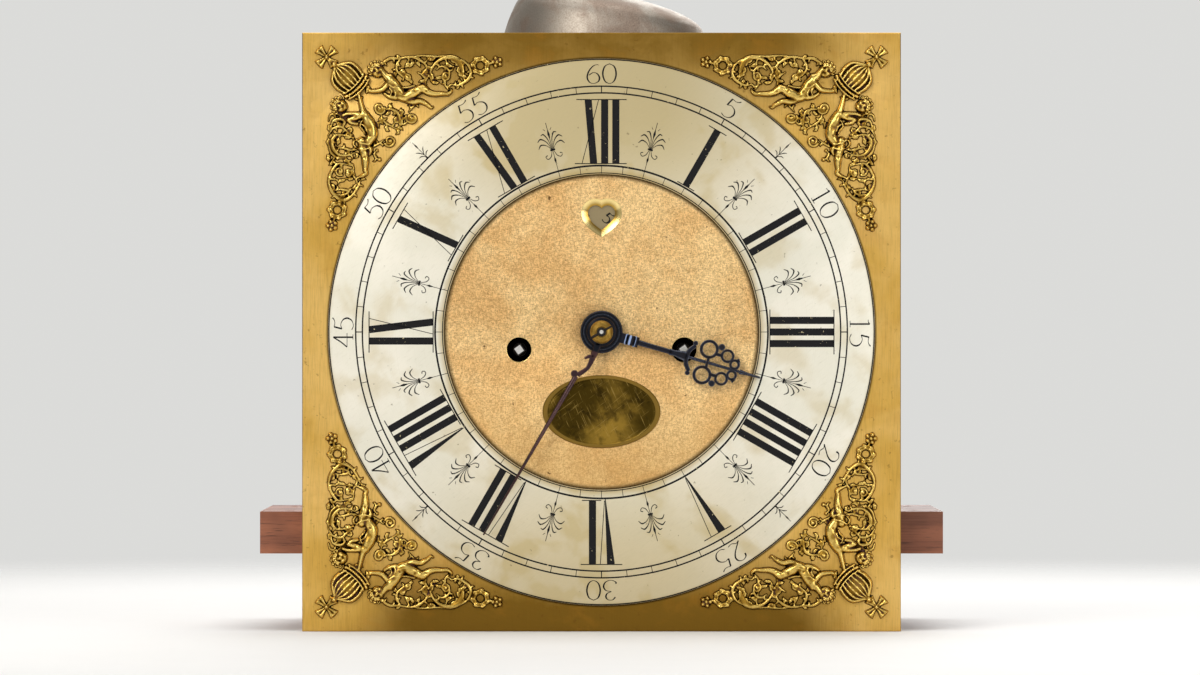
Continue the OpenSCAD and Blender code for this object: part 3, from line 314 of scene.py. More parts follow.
class Value:
    """A number in a shader graph. Python's operators on it add Math nodes."""

    def __init__(self, graph: "Graph", socket: Socket) -> None:
        """Keeps the graph and the socket that the number comes from."""
        self.graph = graph
        self.socket = socket

    def math(self, operation: str, *others: Any, clamp: bool = False) -> "Value":
        """Adds one Math node."""
        node = self.graph.node("ShaderNodeMath", {"operation": operation, "use_clamp": clamp},
                               dict(enumerate((self,) + others)))
        return Value(self.graph, node.outputs[0])

    __add__ = __radd__ = operator("ADD")
    __mul__ = __rmul__ = operator("MULTIPLY")
    __sub__ = operator("SUBTRACT")
    __truediv__ = operator("DIVIDE")
    __pow__ = operator("POWER")
    __abs__ = operator("ABSOLUTE")
    least = operator("MINIMUM")
    most = operator("MAXIMUM")

    def __rsub__(self, other: float) -> "Value":
        """Difference from a number on the left."""
        return self.graph.value(other).math("SUBTRACT", self)

    def ramp(self, low: float, high: float, soft: bool = True) -> "Value":
        """Rises from 0 where the number is low to 1 where it is high; low may be the larger of the two."""
        node = self.graph.node("ShaderNodeMapRange",
                               {"interpolation_type": "SMOOTHSTEP" if soft else "LINEAR", "clamp": True},
                               {"Value": self, "From Min": low, "From Max": high, "To Min": 0, "To Max": 1})
        return Value(self.graph, node.outputs[0])


class Graph:
    """A material's shader graph, or the world's, with the calls that build it and the colour laid on so far."""

    def __init__(self, name: str, world: bool = False) -> None:
        """Starts a material with a Principled shader and its output, or a world with its output alone.

        Args:
            name: Name of the material or world.
            world: True for a world.
        """
        self.owner = (bpy.data.worlds if world else bpy.data.materials).new(name)
        self.owner.use_nodes = True
        self.tree = self.owner.node_tree
        self.tree.nodes.clear()
        self.colour: Any = None
        self.places: dict[tuple, Socket] = {}
        self.output = self.node("ShaderNodeOutputWorld" if world else "ShaderNodeOutputMaterial").inputs["Surface"]
        if not world:
            self.shader = self.node("ShaderNodeBsdfPrincipled")
            self.feed(self.output, self.shader.outputs[0])

    def node(self, kind: str, settings: dict[str, Any] | None = None,
             inputs: dict[Any, Any] | None = None) -> bpy.types.Node:
        """Adds a node.

        Args:
            kind: The node's type.
            settings: Its own settings, set first.
            inputs: A number, colour, value or socket for each input, by name or place.

        Returns:
            The node.
        """
        made = self.tree.nodes.new(kind)
        for key, setting in (settings or {}).items():
            setattr(made, key, setting)
        for key, source in (inputs or {}).items():
            self.feed(made.inputs[key], source)
        return made

    def feed(self, socket: Socket, source: Any) -> None:
        """Sets a socket to a number or colour, or links a value or another socket to it.

        Args:
            socket: The input.
            source: What goes in.
        """
        if isinstance(source, Value):
            source = source.socket
        if isinstance(source, Socket):
            self.tree.links.new(source, socket)
        else:
            socket.default_value = source

    def value(self, number: float) -> Value:
        """A number as the start of an expression."""
        return Value(self, self.node("ShaderNodeMath", {"operation": "ADD"}, {0: number, 1: 0}).outputs[0])

    def place(self, centre: Numbers = (0, 0, 0), turn: float = 0,
              stretch: Numbers = (1, 1, 1)) -> Socket:
        """Object coordinates in millimetres from a centre, turned about y and stretched.

        Args:
            centre: The point that becomes zero, in millimetres in the row frame.
            turn: Turn about y in degrees.
            stretch: Scale of each axis after the turn.

        Returns:
            The vector socket.
        """
        key = (tuple(centre), turn, tuple(stretch))
        if key not in self.places:
            socket = self.node("ShaderNodeTexCoord").outputs["Object"]
            changes = ((True, {"Location": tuple(-c for c in centre), "Scale": (1 / MM,) * 3}),
                (turn != 0, {"Rotation": (0, radians(turn), 0)}),
                (any(s != 1 for s in stretch), {"Scale": tuple(stretch)}))
            for needed, change in changes:
                if needed:
                    change["Vector"] = socket
                    socket = self.node("ShaderNodeMapping", {"vector_type": "POINT"}, change).outputs[0]
            self.places[key] = socket
        return self.places[key]

    def axes(self, centre: Numbers = (0, 0, 0)) -> tuple[Value, ...]:
        """The three object coordinates in millimetres from a centre."""
        return tuple(Value(self, s) for s in self.node("ShaderNodeSeparateXYZ", None, {0: self.place(centre)}).outputs)

    def noise(self, size: float, detail: float = 4, rough: float = 0.55, warp: float = 0,
              place: Socket | None = None, **where: Any) -> Value:
        """Cloudy noise, mostly from 0.3 to 0.7, with its largest blotches about size millimetres across, at a place."""
        inputs = {"Vector": place or self.place(**where), "Scale": 1 / size, "Detail": detail, "Roughness": rough,
                  "Distortion": warp}
        return Value(self, self.node("ShaderNodeTexNoise", {"noise_dimensions": "3D"}, inputs).outputs["Fac"])

    def cells(self, size: float) -> Value:
        """Distance, in spacings, to the nearest of many scattered points about size millimetres apart."""
        inputs = {"Vector": self.place(), "Scale": 1 / size, "Randomness": 1}
        return Value(self, self.node("ShaderNodeTexVoronoi", {"feature": "F1"}, inputs).outputs["Distance"])

    def blend(self, share: Any, first: Any, second: Any) -> Socket:
        """Mixes two colours, given as on a screen or as sockets, by the second one's share."""
        first, second = (c if isinstance(c, Socket) else linear(c) for c in (first, second))
        return self.node("ShaderNodeMix", {"data_type": "RGBA", "blend_type": "MIX", "clamp_factor": True},
                         {0: share, 6: first, 7: second}).outputs[2]

    def over(self, share: Any, colour: Any) -> None:
        """Lays a colour over those laid before, by its share."""
        self.colour = self.blend(share, self.colour, colour)

    def bump(self, height: Value, depth: float, strength: float, under: Socket | None = None) -> Socket:
        """Bump from a height of 0 to 1 that is depth millimetres deep, on top of the normal under it."""
        inputs = {"Height": height, "Distance": depth * MM, "Strength": strength} | ({"Normal": under} if under else {})
        return self.node("ShaderNodeBump", None, inputs).outputs[0]

    def finish(self, **inputs: Any) -> Material:
        """Feeds the shader its colour and the sockets named with underscores, and returns the material."""
        for key, source in ({"base_color": self.colour} | inputs).items():
            self.feed(self.shader.inputs[key.replace("_", " ").title().replace("Ior", "IOR")], source)
        return self.owner


# Finishes

class Grain(Enum):
    """How a metal surface was last worked, as the stretch of its fine lines; turned work has rings instead."""
    CAST = (1, 1, 1)
    UPRIGHT = (1, 1, 0.03)
    DRAWN = (1, 0.04, 1)
    TURNED = "rings"


@dataclass(frozen=True)
class Metal:
    """Finish of a worked metal: fine lines along its grain, dull patches, small dark specks and a slight bump."""
    name: str
    clean: Colour
    dull: Colour
    deep: Colour
    rough: float
    grain: Grain
    patch: float
    specks: float = 0.5

    def lines(self, graph: Graph, centre: Numbers) -> Value:
        """Fine lines along the grain: noise squeezed across it and stretched along it.

        Args:
            graph: The material's graph.
            centre: Axis of turned work, in millimetres.

        Returns:
            The noise.
        """
        if self.grain is Grain.TURNED:
            x, y, z = graph.axes(centre)
            rings = graph.node("ShaderNodeCombineXYZ", None, {0: (x * x + z * z) ** 0.5, 1: y * 0.7}).outputs[0]
            return graph.noise(0.55, 2, 0.7, 0, rings)
        return graph.noise(0.7, 3, 0.65, stretch=self.grain.value)

    def material(self, label: str = "", centre: Numbers = (0, 0, 0)) -> Material:
        """Builds the material.

        Args:
            label: Added to the material's name where one finish serves several pieces.
            centre: Axis of turned work, in millimetres.

        Returns:
            The material.
        """
        graph = Graph(self.name + ("_" + label if label else ""))
        lines = self.lines(graph, centre)
        patches = graph.noise(self.patch, 5, 0.62, 0.6).ramp(0.42, 0.68)
        specks = graph.noise(1.9, 3, 0.6).ramp(0.66, 0.78) * self.specks
        graph.colour = graph.blend(patches * 0.75, self.clean, self.dull)
        graph.over(lines.ramp(0.35, 0.75) * 0.35, self.deep)
        graph.over(specks, self.deep)
        rough = self.rough + patches * 0.12 + lines.ramp(0.3, 0.7) * 0.1 + specks * 0.2
        return graph.finish(metallic=1, roughness=rough, normal=graph.bump(lines, 0.02, 0.5))


@dataclass(frozen=True)
class SheetBrass:
    """Finish of the dial plate: a painted reflection, brighter at the sides and browner by the middle of top and
    bottom; matted inside; painted shadows along the chapter ring's edges and painted shade in the matting's hollows,
    the holes and the heart's bevel.
    """
    name: str = "dial_brass"
    clean: Colour = (0.89, 0.73, 0.42)
    golden: Colour = (0.82, 0.65, 0.31)
    brown: Colour = (0.47, 0.35, 0.12)
    amber: Colour = (0.7, 0.48, 0.17)
    matted: Colour = (0.99, 0.87, 0.64)
    rose: Colour = (0.91, 0.74, 0.49)
    pit: Colour = (0.34, 0.2, 0.08)
    # Dark brown of the painted shadows along the chapter ring's edges.
    grime: Colour = (0.13, 0.09, 0.04)
    matted_radius: float = 83

    def material(self) -> Material:
        """Builds the material."""
        graph = Graph(self.name)
        x, y, z = graph.axes((0, PLATE_Y, CENTRE_Z))
        radius = (x * x + z * z) ** 0.5
        matting = radius.ramp(self.matted_radius + 0.4, self.matted_radius - 0.4) * y.ramp(0.06, 0.02)
        brushed = graph.noise(0.6, 3, 0.7, stretch=(1, 1, 0.05))
        rubbed = graph.noise(0.7, 3, 0.7, 0.3, turn=70, stretch=(1, 1, 0.06))
        blotches = graph.noise(17, 5, 0.62, 0.3, stretch=(0.7, 1, 1))
        clouds = graph.noise(50, 4, 0.55, 0.3)
        # Painted reflection: the band by the middle of top and bottom is painted browner, more so towards the bottom.
        edge = abs(z).ramp(96, 150) * abs(x).ramp(142, 88)
        graph.colour = graph.blend(clouds.ramp(0.36, 0.64), self.clean, self.golden)
        graph.over(edge * (0.86 + blotches.ramp(0.35, 0.62) * 0.12 + z.ramp(0, -150) * 0.2), self.brown)
        graph.over(blotches.ramp(0.52, 0.7) * 0.22, self.amber)
        graph.over(brushed.ramp(0.4, 0.75) * 0.22, (0.42, 0.31, 0.1))
        graph.over(graph.noise(3, 3, 0.6).ramp(0.64, 0.74) * 0.45, (0.4, 0.27, 0.1))
        # Painted shadow just outside the chapter ring's outer edge.
        ring_shadow = radius.ramp(140.6, 139.3) * radius.ramp(136, 139) * y.ramp(0.5, 0.1)
        graph.over(ring_shadow * 0.85, self.grime)
        plain = graph.colour
        rows = graph.noise(0.55, 2, 0.6, stretch=(0.4, 1, 1))
        columns = graph.noise(0.55, 2, 0.6, stretch=(1, 1, 0.4))
        grains = graph.cells(0.6)
        punched = (rows + columns).ramp(0.76, 1.24) * 0.6 + grains.ramp(0.1, 0.62) * 0.4
        soft = graph.noise(30, 5, 0.6, 0.2)
        graph.colour = graph.blend(soft.ramp(0.38, 0.64) * 0.8, self.matted, self.rose)
        # Painted shade in the punched hollows of the matting.
        graph.over((1 - punched) * 0.75, (0.56, 0.4, 0.2))
        graph.over(graph.noise(1.1, 2, 0.6).ramp(0.6, 0.7) * 0.35, (0.52, 0.37, 0.19))
        graph.over(z.ramp(-15, -80) * 0.5, (0.74, 0.58, 0.33))
        # Painted shadow under the chapter ring's inner edge.
        graph.over(radius.ramp(77.5, 80.6), self.grime)
        pits = graph.noise(3.4, 2, 0.5, 0).ramp(0.735, 0.8)
        graph.over(pits * 0.85, self.pit)
        graph.colour = graph.blend(matting, plain, graph.colour)
        # Painted highlight near the front of the heart's bevel, fading to painted shade deeper down it.
        bevel = y.ramp(0.02, 0.08) * radius.ramp(80, 78)
        bevel_light_and_shade = graph.blend(y.ramp(0.4, 1.7), (0.98, 0.88, 0.6), (0.7, 0.56, 0.25))
        graph.over(bevel, bevel_light_and_shade)
        # Painted shade down the walls of the winding and centre holes, and on the walls near the plate's back behind
        # the heart's bevel.
        holes = (abs(abs(x) - WINDING_X) ** 2 + (z - WINDING_Z) ** 2) ** 0.5
        dark = holes.ramp(9, 8) * y.ramp(0.05, 0.4) + radius.ramp(9, 8) * y.ramp(0.05, 0.4)
        graph.over((dark + y.ramp(1.78, 1.9) * y.ramp(2.38, 2.3)).least(1), (0.05, 0.035, 0.02))
        rough = (0.34 + rubbed.ramp(0.3, 0.8) * 0.14 + edge * 0.06) * (1 - matting) * (1 - bevel * 0.5) + matting * 0.6
        scratched = graph.bump(rubbed, 0.02, 0.5, graph.bump(brushed, 0.02, 0.4))
        normal = graph.bump(punched * matting, 0.12, 0.9, scratched)
        return graph.finish(metallic=1, roughness=rough, normal=normal)


@dataclass(frozen=True)
class Silvering:
    """Finish of the silvered rings: pale matt silver, yellowed in broad soft patches, with fine brush lines."""
    name: str = "silvered_brass"
    pale: Colour = (0.92, 0.9, 0.84)
    warm: Colour = (0.775, 0.71, 0.54)
    cool: Colour = (0.85, 0.84, 0.77)
    brass: Colour = (0.7, 0.6, 0.36)

    def material(self) -> Material:
        """Builds the material."""
        graph = Graph(self.name)
        x, _, z = graph.axes((0, RING_Y, CENTRE_Z))
        radius = (x * x + z * z) ** 0.5
        clouds = graph.noise(34, 3, 0.5, 0.2)
        yellow = graph.noise(24, 3, 0.5, 0.3, graph.place((40, 0, 20)))
        strokes = graph.noise(1, 3, 0.7, 0.2, turn=38, stretch=(0.2, 1, 1))
        fine = graph.noise(0.5, 2, 0.6, 0, graph.node("ShaderNodeCombineXYZ", None, {0: radius}).outputs[0])
        upper = abs(z + 8).ramp(20, 118) * abs(x).ramp(125, 25)
        graph.colour = graph.blend(clouds.ramp(0.38, 0.64) * 0.5, self.pale, self.cool)
        graph.over((upper * (0.82 + z.ramp(0, 90) * 0.18) + yellow.ramp(0.48, 0.68) * 0.45).least(1), self.warm)
        graph.over(upper * z.ramp(60, 125) * 0.35, (0.62, 0.56, 0.4))
        graph.over(strokes.ramp(0.5, 0.85) * 0.22, (0.7, 0.68, 0.58))
        graph.over(fine.ramp(0.5, 0.8) * 0.14, (0.66, 0.62, 0.5))
        rim = radius.ramp(137.4, 139) * 0.5 + radius.ramp(84.4, 80.6) * 0.65
        graph.over(rim, self.brass)
        spots = graph.noise(2.2, 2, 0.5).ramp(0.72, 0.8)
        graph.over(spots * 0.5, (0.42, 0.36, 0.24))
        rough = 0.42 + strokes.ramp(0.3, 0.7) * 0.12 + spots * 0.2
        normal = graph.bump(fine, 0.012, 0.5, graph.bump(strokes, 0.02, 0.35))
        return graph.finish(metallic=0.5, roughness=rough, normal=normal)


@dataclass(frozen=True)
class Wax:
    """Finish of the wax in the engraving: blue-black, glossy in places, with flakes missing over the silver."""
    name: str = "engraving_wax"
    wax: Colour = (0.035, 0.04, 0.06)
    brown: Colour = (0.09, 0.065, 0.045)
    bare: Colour = (0.8, 0.74, 0.58)

    def material(self) -> Material:
        """Builds the material."""
        graph = Graph(self.name)
        flakes = graph.noise(1.5, 3, 0.6, 0.5).ramp(0.665, 0.69) * graph.noise(9, 2).ramp(0.46, 0.56)
        grain = graph.noise(0.6, 3, 0.7)
        graph.colour = graph.blend(grain.ramp(0.35, 0.75) * 0.7, self.wax, self.brown)
        graph.over(flakes, self.bare)
        rough = 0.38 + grain.ramp(0.3, 0.7) * 0.3
        normal = graph.bump(grain, 0.04, 0.7)
        return graph.finish(metallic=0, roughness=rough, specular_ior_level=0.2, normal=normal)


@dataclass(frozen=True)
class CastBrass:
    """Finish of the corner castings: bright on ridges and tops, partly from real wear and partly a painted highlight;
    brown to black in the hollows and low by the plate, partly real patina and partly painted shade.
    """
    name: str = "cast_brass"
    bright: Colour = (0.92, 0.79, 0.44)
    gold: Colour = (0.6, 0.46, 0.17)
    brown: Colour = (0.33, 0.22, 0.06)
    black: Colour = (0.08, 0.05, 0.015)
    rose: Colour = (0.36, 0.25, 0.24)

    def material(self) -> Material:
        """Builds the material. What stands proud of its surroundings is rubbed bright, with a painted highlight;
        hollows and low parts stay dark, with painted shade over their patina.
        """
        graph = Graph(self.name)
        _, y, _ = graph.axes((0, PLATE_Y, CENTRE_Z))
        proud = Value(graph, graph.node("ShaderNodeAttribute", {"attribute_name": "proud"}).outputs["Fac"])
        rise = y * -1
        wear_and_painted_light = graph.noise(5, 4, 0.6, 0.5)
        grain = graph.noise(0.7, 3, 0.7)
        # This mask sets real rubbing on what stands proud together with painted light: near-black painted shade in the
        # hollows and low by the plate, a painted highlight on the tops.
        polish_and_painted_light = proud.ramp(0.38, 0.72) * 0.7 + rise.ramp(0.4, 1.7) * 0.35 + rise.ramp(2.6, 4) * 0.22
        polish_and_painted_light = polish_and_painted_light + wear_and_painted_light.ramp(0.3, 0.7) * 0.15 - 0.27
        graph.colour = graph.blend(polish_and_painted_light.ramp(0, 0.35), self.black, self.brown)
        graph.over(polish_and_painted_light.ramp(0.22, 0.62), self.gold)
        graph.over(polish_and_painted_light.ramp(0.62, 1), self.bright)
        hollow = graph.noise(9, 3, 0.5, 0.6).ramp(0.44, 0.6) * proud.ramp(0.56, 0.44) * rise.ramp(0.3, 1.2)
        graph.over(hollow * 0.55, self.rose)
        rough = 0.46 - polish_and_painted_light.ramp(0.2, 0.9) * 0.24 + grain.ramp(0.3, 0.7) * 0.06
        normal = graph.bump(grain, 0.03, 0.5)
        return graph.finish(metallic=1, roughness=rough, normal=normal)


@dataclass(frozen=True)
class OldPlaque:
    """Finish of the oval plaque: olive brass, its dark olive a painted dark reflection, with a painted bright
    reflection in gold low in the middle, and scratches that run all ways.
    """
    name: str = "plaque_brass"
    # Dark olive: a painted dark reflection.
    olive: Colour = (0.27, 0.21, 0.06)
    gold: Colour = (0.58, 0.46, 0.18)
    dark: Colour = (0.13, 0.095, 0.03)
    rim: Colour = (0.52, 0.41, 0.18)

    def material(self) -> Material:
        """Builds the material."""
        graph = Graph(self.name)
        x, _, z = graph.axes((0, PLATE_Y, CENTRE_Z - 40.5))
        clouds = graph.noise(20, 4, 0.6, 0.4)
        first = graph.noise(0.5, 2, 0.6, 0.2, turn=24, stretch=(1, 1, 0.05))
        second = graph.noise(0.5, 2, 0.6, 0.2, turn=-52, stretch=(1, 1, 0.04))
        scratches = first.ramp(0.6, 0.74).most(second.ramp(0.62, 0.75))
        oval = ((x / 30) ** 2 + (z / 18.5) ** 2) ** 0.5
        # Painted reflection: a bright patch low in the middle of the plaque, mixed in gold into the dark olive.
        painted_reflection = z.ramp(6, -16) * abs(x - 4).ramp(24, 4)
        graph.colour = graph.blend((painted_reflection * 0.7 + clouds.ramp(0.4, 0.66) * 0.45).ramp(0.1, 0.9), self.olive, self.gold)
        graph.over(graph.noise(7, 4, 0.6, 0.4).ramp(0.5, 0.7) * 0.6, self.dark)
        graph.over(scratches * 0.45, (0.72, 0.6, 0.32))
        graph.over(oval.ramp(0.905, 0.925), self.rim)
        rough = 0.27 + clouds.ramp(0.3, 0.7) * 0.14
        return graph.finish(metallic=1, roughness=rough, normal=graph.bump(scratches, 0.02, 0.5))


@dataclass(frozen=True)
class HeatedSteel:
    """Finish of the hands: steel coloured by heat, filed along its length, with a painted highlight on its bevelled
    rims and rust freckles.
    """
    name: str
    tone: Colour
    second: Colour
    # The third colour is that of the painted highlight on the rims.
    rubbed: Colour
    hub: Colour = (0.07, 0.08, 0.11)
    hub_radius: float = 10
    face: float = -105.8
    direction: float = 0
    bands: tuple[float, ...] = ()
    rust: Colour = (0.2, 0.1, 0.05)
    rough: float = 0.27

    def material(self) -> Material:
        """Builds the material. The rim of the front face, found by its depth, gets a painted highlight."""
        graph = Graph(self.name)
        x, depth, z = graph.axes((0, self.face, CENTRE_Z))
        slope = depth.ramp(0.02, 0.14) * depth.ramp(0.7, 0.4)
        radius = (x * x + z * z) ** 0.5
        clouds = graph.noise(7, 4, 0.6, 0.6)
        grain = graph.noise(0.45, 3, 0.7)
        freckles = graph.noise(1.3, 3, 0.6).ramp(0.64, 0.74)
        graph.colour = graph.blend(clouds.ramp(0.36, 0.66), self.tone, self.second)
        graph.over(radius.ramp(self.hub_radius + 1, self.hub_radius), self.hub)
        # Painted highlight on the sloping rim of the front face, weaker on the hub.
        highlight_strength = 0.35 + radius.ramp(self.hub_radius, self.hub_radius + 1.5) * 0.65
        graph.over(slope * highlight_strength * (0.15 + grain.ramp(0.45, 0.75) * 0.6), self.rubbed)
        if self.bands:
            turn = radians(self.direction)
            ahead = x * cos(turn) + z * sin(turn)
            near = [abs(ahead - place).ramp(0.62, 0.42) for place in self.bands]
            graph.over(sum(near[1:], near[0]) * radius.ramp(22, 21), (0.62, 0.7, 0.86))
        graph.over(freckles * 0.5, self.rust)
        rough = self.rough + grain.ramp(0.3, 0.7) * 0.14 + freckles * 0.25
        normal = graph.bump(grain, 0.03, 0.6)
        return graph.finish(metallic=0.92, roughness=rough, normal=normal, coat_weight=0.1, coat_roughness=0.16)


@dataclass(frozen=True)
class OiledPlate:
    """Finish of the front plate: sheet brass filed upright, painted near black round the two winding arbors as shade,
    where it is seen through the dial's winding holes.
    """
    name: str = "front_plate_brass"
    clean: Colour = (0.78, 0.62, 0.33)
    dull: Colour = (0.62, 0.47, 0.22)
    # Near-black colour of the painted shade round the winding arbors.
    oil: Colour = (0.045, 0.032, 0.02)
    oiled_radius: float = 11.5

    def material(self) -> Material:
        """Builds the material."""
        graph = Graph(self.name)
        x, y, z = graph.axes((0, -60, CENTRE_Z + WINDING_Z))
        away = (abs(abs(x) - WINDING_X) ** 2 + z * z) ** 0.5
        filed = graph.noise(0.7, 3, 0.65, stretch=(1, 1, 0.03))
        patches = graph.noise(34, 5, 0.62, 0.6).ramp(0.42, 0.68)
        # Painted shade: near black round the winding arbors on the plate's front face.
        oil = (away + patches * 3).ramp(self.oiled_radius + 3, self.oiled_radius) * y.ramp(0.4, 0.1)
        graph.colour = graph.blend(patches * 0.75, self.clean, self.dull)
        graph.over(filed.ramp(0.35, 0.75) * 0.35, (0.42, 0.3, 0.12))
        graph.over(oil, self.oil)
        rough = 0.3 + patches * 0.12 + filed.ramp(0.3, 0.7) * 0.1 + oil * 0.3
        return graph.finish(metallic=1, roughness=rough, normal=graph.bump(filed, 0.02, 0.5))


@dataclass(frozen=True)
class TippedSteel:
    """Finish of the arbors that come through the dial: dark steel, with a painted highlight only on the very end."""
    name: str
    tip_y: float
    tip_radius: float
    dark: Colour = (0.17, 0.16, 0.155)
    bright: Colour = (0.86, 0.85, 0.83)

    def material(self, centre: Numbers) -> Material:
        """Builds the material.

        Args:
            centre: The arbor's axis, in millimetres.

        Returns:
            The material.
        """
        graph = Graph(self.name)
        x, _, z = graph.axes(centre)
        _, y, _ = graph.axes()
        radius = (x * x + z * z) ** 0.5
        grain = graph.noise(0.6, 3, 0.7)
        patches = graph.noise(6, 4, 0.6, 0.4).ramp(0.4, 0.7)
        # Painted highlight on the front-facing end of the arbor.
        tip = y.ramp(self.tip_y, self.tip_y - 0.04) * radius.ramp(self.tip_radius + 0.2, self.tip_radius)
        graph.colour = graph.blend(patches * 0.6, self.dark, (0.3, 0.27, 0.24))
        graph.over(grain.ramp(0.4, 0.7) * 0.4, (0.1, 0.08, 0.07))
        graph.over(tip * (0.75 + grain.ramp(0.3, 0.7) * 0.25), self.bright)
        rough = 0.3 + grain.ramp(0.3, 0.7) * 0.12
        return graph.finish(metallic=0.9, roughness=rough, normal=graph.bump(grain, 0.03, 0.6))


@dataclass(frozen=True)
class OldWood:
    """Finish of the seatboard: red-brown wood with its grain along the board, pores, rings, and darker towards its
    right end.
    """
    name: str = "board_wood"
    light: Colour = (0.64, 0.385, 0.26)
    middle: Colour = (0.54, 0.305, 0.2)
    dark: Colour = (0.27, 0.145, 0.085)

    def material(self) -> Material:
        """Builds the material. Rings are bands of the distance from a pith line, bent by slow noise."""
        graph = Graph(self.name)
        x, y, z = graph.axes((0, 60, -130))
        bend = graph.noise(90, 3, 0.5, 0.4, stretch=(0.25, 1, 1))
        radius = (y * y + z * z) ** 0.5 + bend * 26
        wave = (radius * 0.62).math("SINE") * 0.5 + 0.5
        fibre = graph.noise(1.1, 4, 0.7, 0.2, stretch=(0.035, 1, 1))
        pores = graph.noise(0.75, 2, 0.5, stretch=(0.06, 1, 1)).ramp(0.62, 0.7)
        clouds = graph.noise(55, 4, 0.6, 0.5)
        graph.colour = graph.blend(wave.ramp(0.1, 0.95) * 0.6, self.light, self.middle)
        graph.over(fibre.ramp(0.45, 0.78) * 0.6, self.dark)
        graph.over(clouds.ramp(0.45, 0.7) * 0.5, self.dark)
        graph.over(pores * 0.6, (0.13, 0.07, 0.04))
        # Darker towards the right end of the board.
        graph.over(x.ramp(60, 175) * 0.35, (0.3, 0.16, 0.09))
        rough = 0.48 + fibre.ramp(0.3, 0.7) * 0.16
        normal = graph.bump(fibre, 0.12, 0.6, graph.bump(1 - pores, 0.12, 0.6))
        return graph.finish(metallic=0, roughness=rough, normal=normal, coat_weight=0.12, coat_roughness=0.35)


METALS = {name: Metal(name, *rest) for name, *rest in (
    ("collet_brass", (0.72, 0.58, 0.28), (0.54, 0.42, 0.18), (0.26, 0.18, 0.07), 0.36, Grain.TURNED, 5),
    ("pin_steel", (0.2, 0.18, 0.165), (0.13, 0.11, 0.1), (0.07, 0.055, 0.045), 0.34, Grain.CAST, 5),
    ("frame_brass", (0.8, 0.64, 0.34), (0.66, 0.5, 0.24), (0.42, 0.3, 0.12), 0.3, Grain.UPRIGHT, 34),
    ("wheel_brass", (0.84, 0.69, 0.38), (0.7, 0.54, 0.27), (0.46, 0.33, 0.14), 0.27, Grain.TURNED, 12),
    ("polished_brass", (0.86, 0.72, 0.42), (0.66, 0.52, 0.26), (0.34, 0.25, 0.1), 0.2, Grain.TURNED, 7),
    ("arbor_steel", (0.62, 0.61, 0.6), (0.44, 0.42, 0.4), (0.22, 0.19, 0.17), 0.24, Grain.TURNED, 9),
    ("polished_steel", (0.8, 0.79, 0.78), (0.6, 0.58, 0.56), (0.3, 0.26, 0.23), 0.18, Grain.DRAWN, 6),
    ("spring_steel", (0.3, 0.33, 0.42), (0.22, 0.22, 0.28), (0.12, 0.1, 0.1), 0.26, Grain.UPRIGHT, 8),
    ("iron", (0.26, 0.25, 0.25), (0.19, 0.17, 0.16), (0.2, 0.11, 0.06), 0.46, Grain.CAST, 12, 0.8),
    ("bell_metal", (0.7, 0.66, 0.61), (0.62, 0.54, 0.48), (0.4, 0.33, 0.27), 0.46, Grain.CAST, 20, 0.7))}


# The dial

def heart_outline(width: float, height: float, grow: float = 0, count: int = 20) -> Array:
    """Outline of a heart with its point down, clockwise: arcs about (0.22, 0.14) width, then parabolas to the point.

    Args:
        width: Width of the heart.
        height: Height of its middle above the dial's centre.
        grow: Distance that the outline is moved outwards.
        count: Points on each arc and each side.

    Returns:
        The outline.
    """
    radius = 0.28 * width + grow
    notch = degrees(acos(-0.22 * width / radius))
    arc = arc_points((0.22 * width, 0.14 * width), radius, notch, -8, count)
    tip = np.array([0, -0.48 * width - 1.1 * grow])
    leave = arc[-1] + (arc[-1] - arc[-2]) * (0.27 * width + 0.6 * grow) / np.linalg.norm(arc[-1] - arc[-2])
    t = np.linspace(0, 1, count)[1:, None]
    side = arc[-1] * (1 - t) ** 2 + leave * 2 * t * (1 - t) + tip * t**2
    right = np.vstack([arc, side])
    left = right[::-1][1:-1] * np.array([-1, 1])
    return np.vstack([right, left]) + np.array([0, height])


def hole(place: Point, radius: float, count: int = 48) -> Array:
    """A round hole's outline, clockwise."""
    return arc_points(place, radius, 360, 360 / count, count)


def rows_between(loops: Sequence[Array], depths: Numbers) -> Surface:
    """Joins outlines that have the same number of points, each at its own depth, into one wall."""
    ring = np.concatenate([on_dial(loop, y) for loop, y in zip(loops, depths)])
    return Surface(ring, [grid_faces(len(loops), len(loops[0]), False, True)])


def inset(loop: Array, distance: float) -> Array:
    """Moves each point of an outline into the material, along the mean of its two sides' normals."""
    step = np.roll(loop, -1, axis=0) - np.roll(loop, 1, axis=0)
    step /= np.linalg.norm(step, axis=1, keepdims=True) + 1e-12
    return loop + np.stack([-step[:, 1], step[:, 0]], -1) * distance


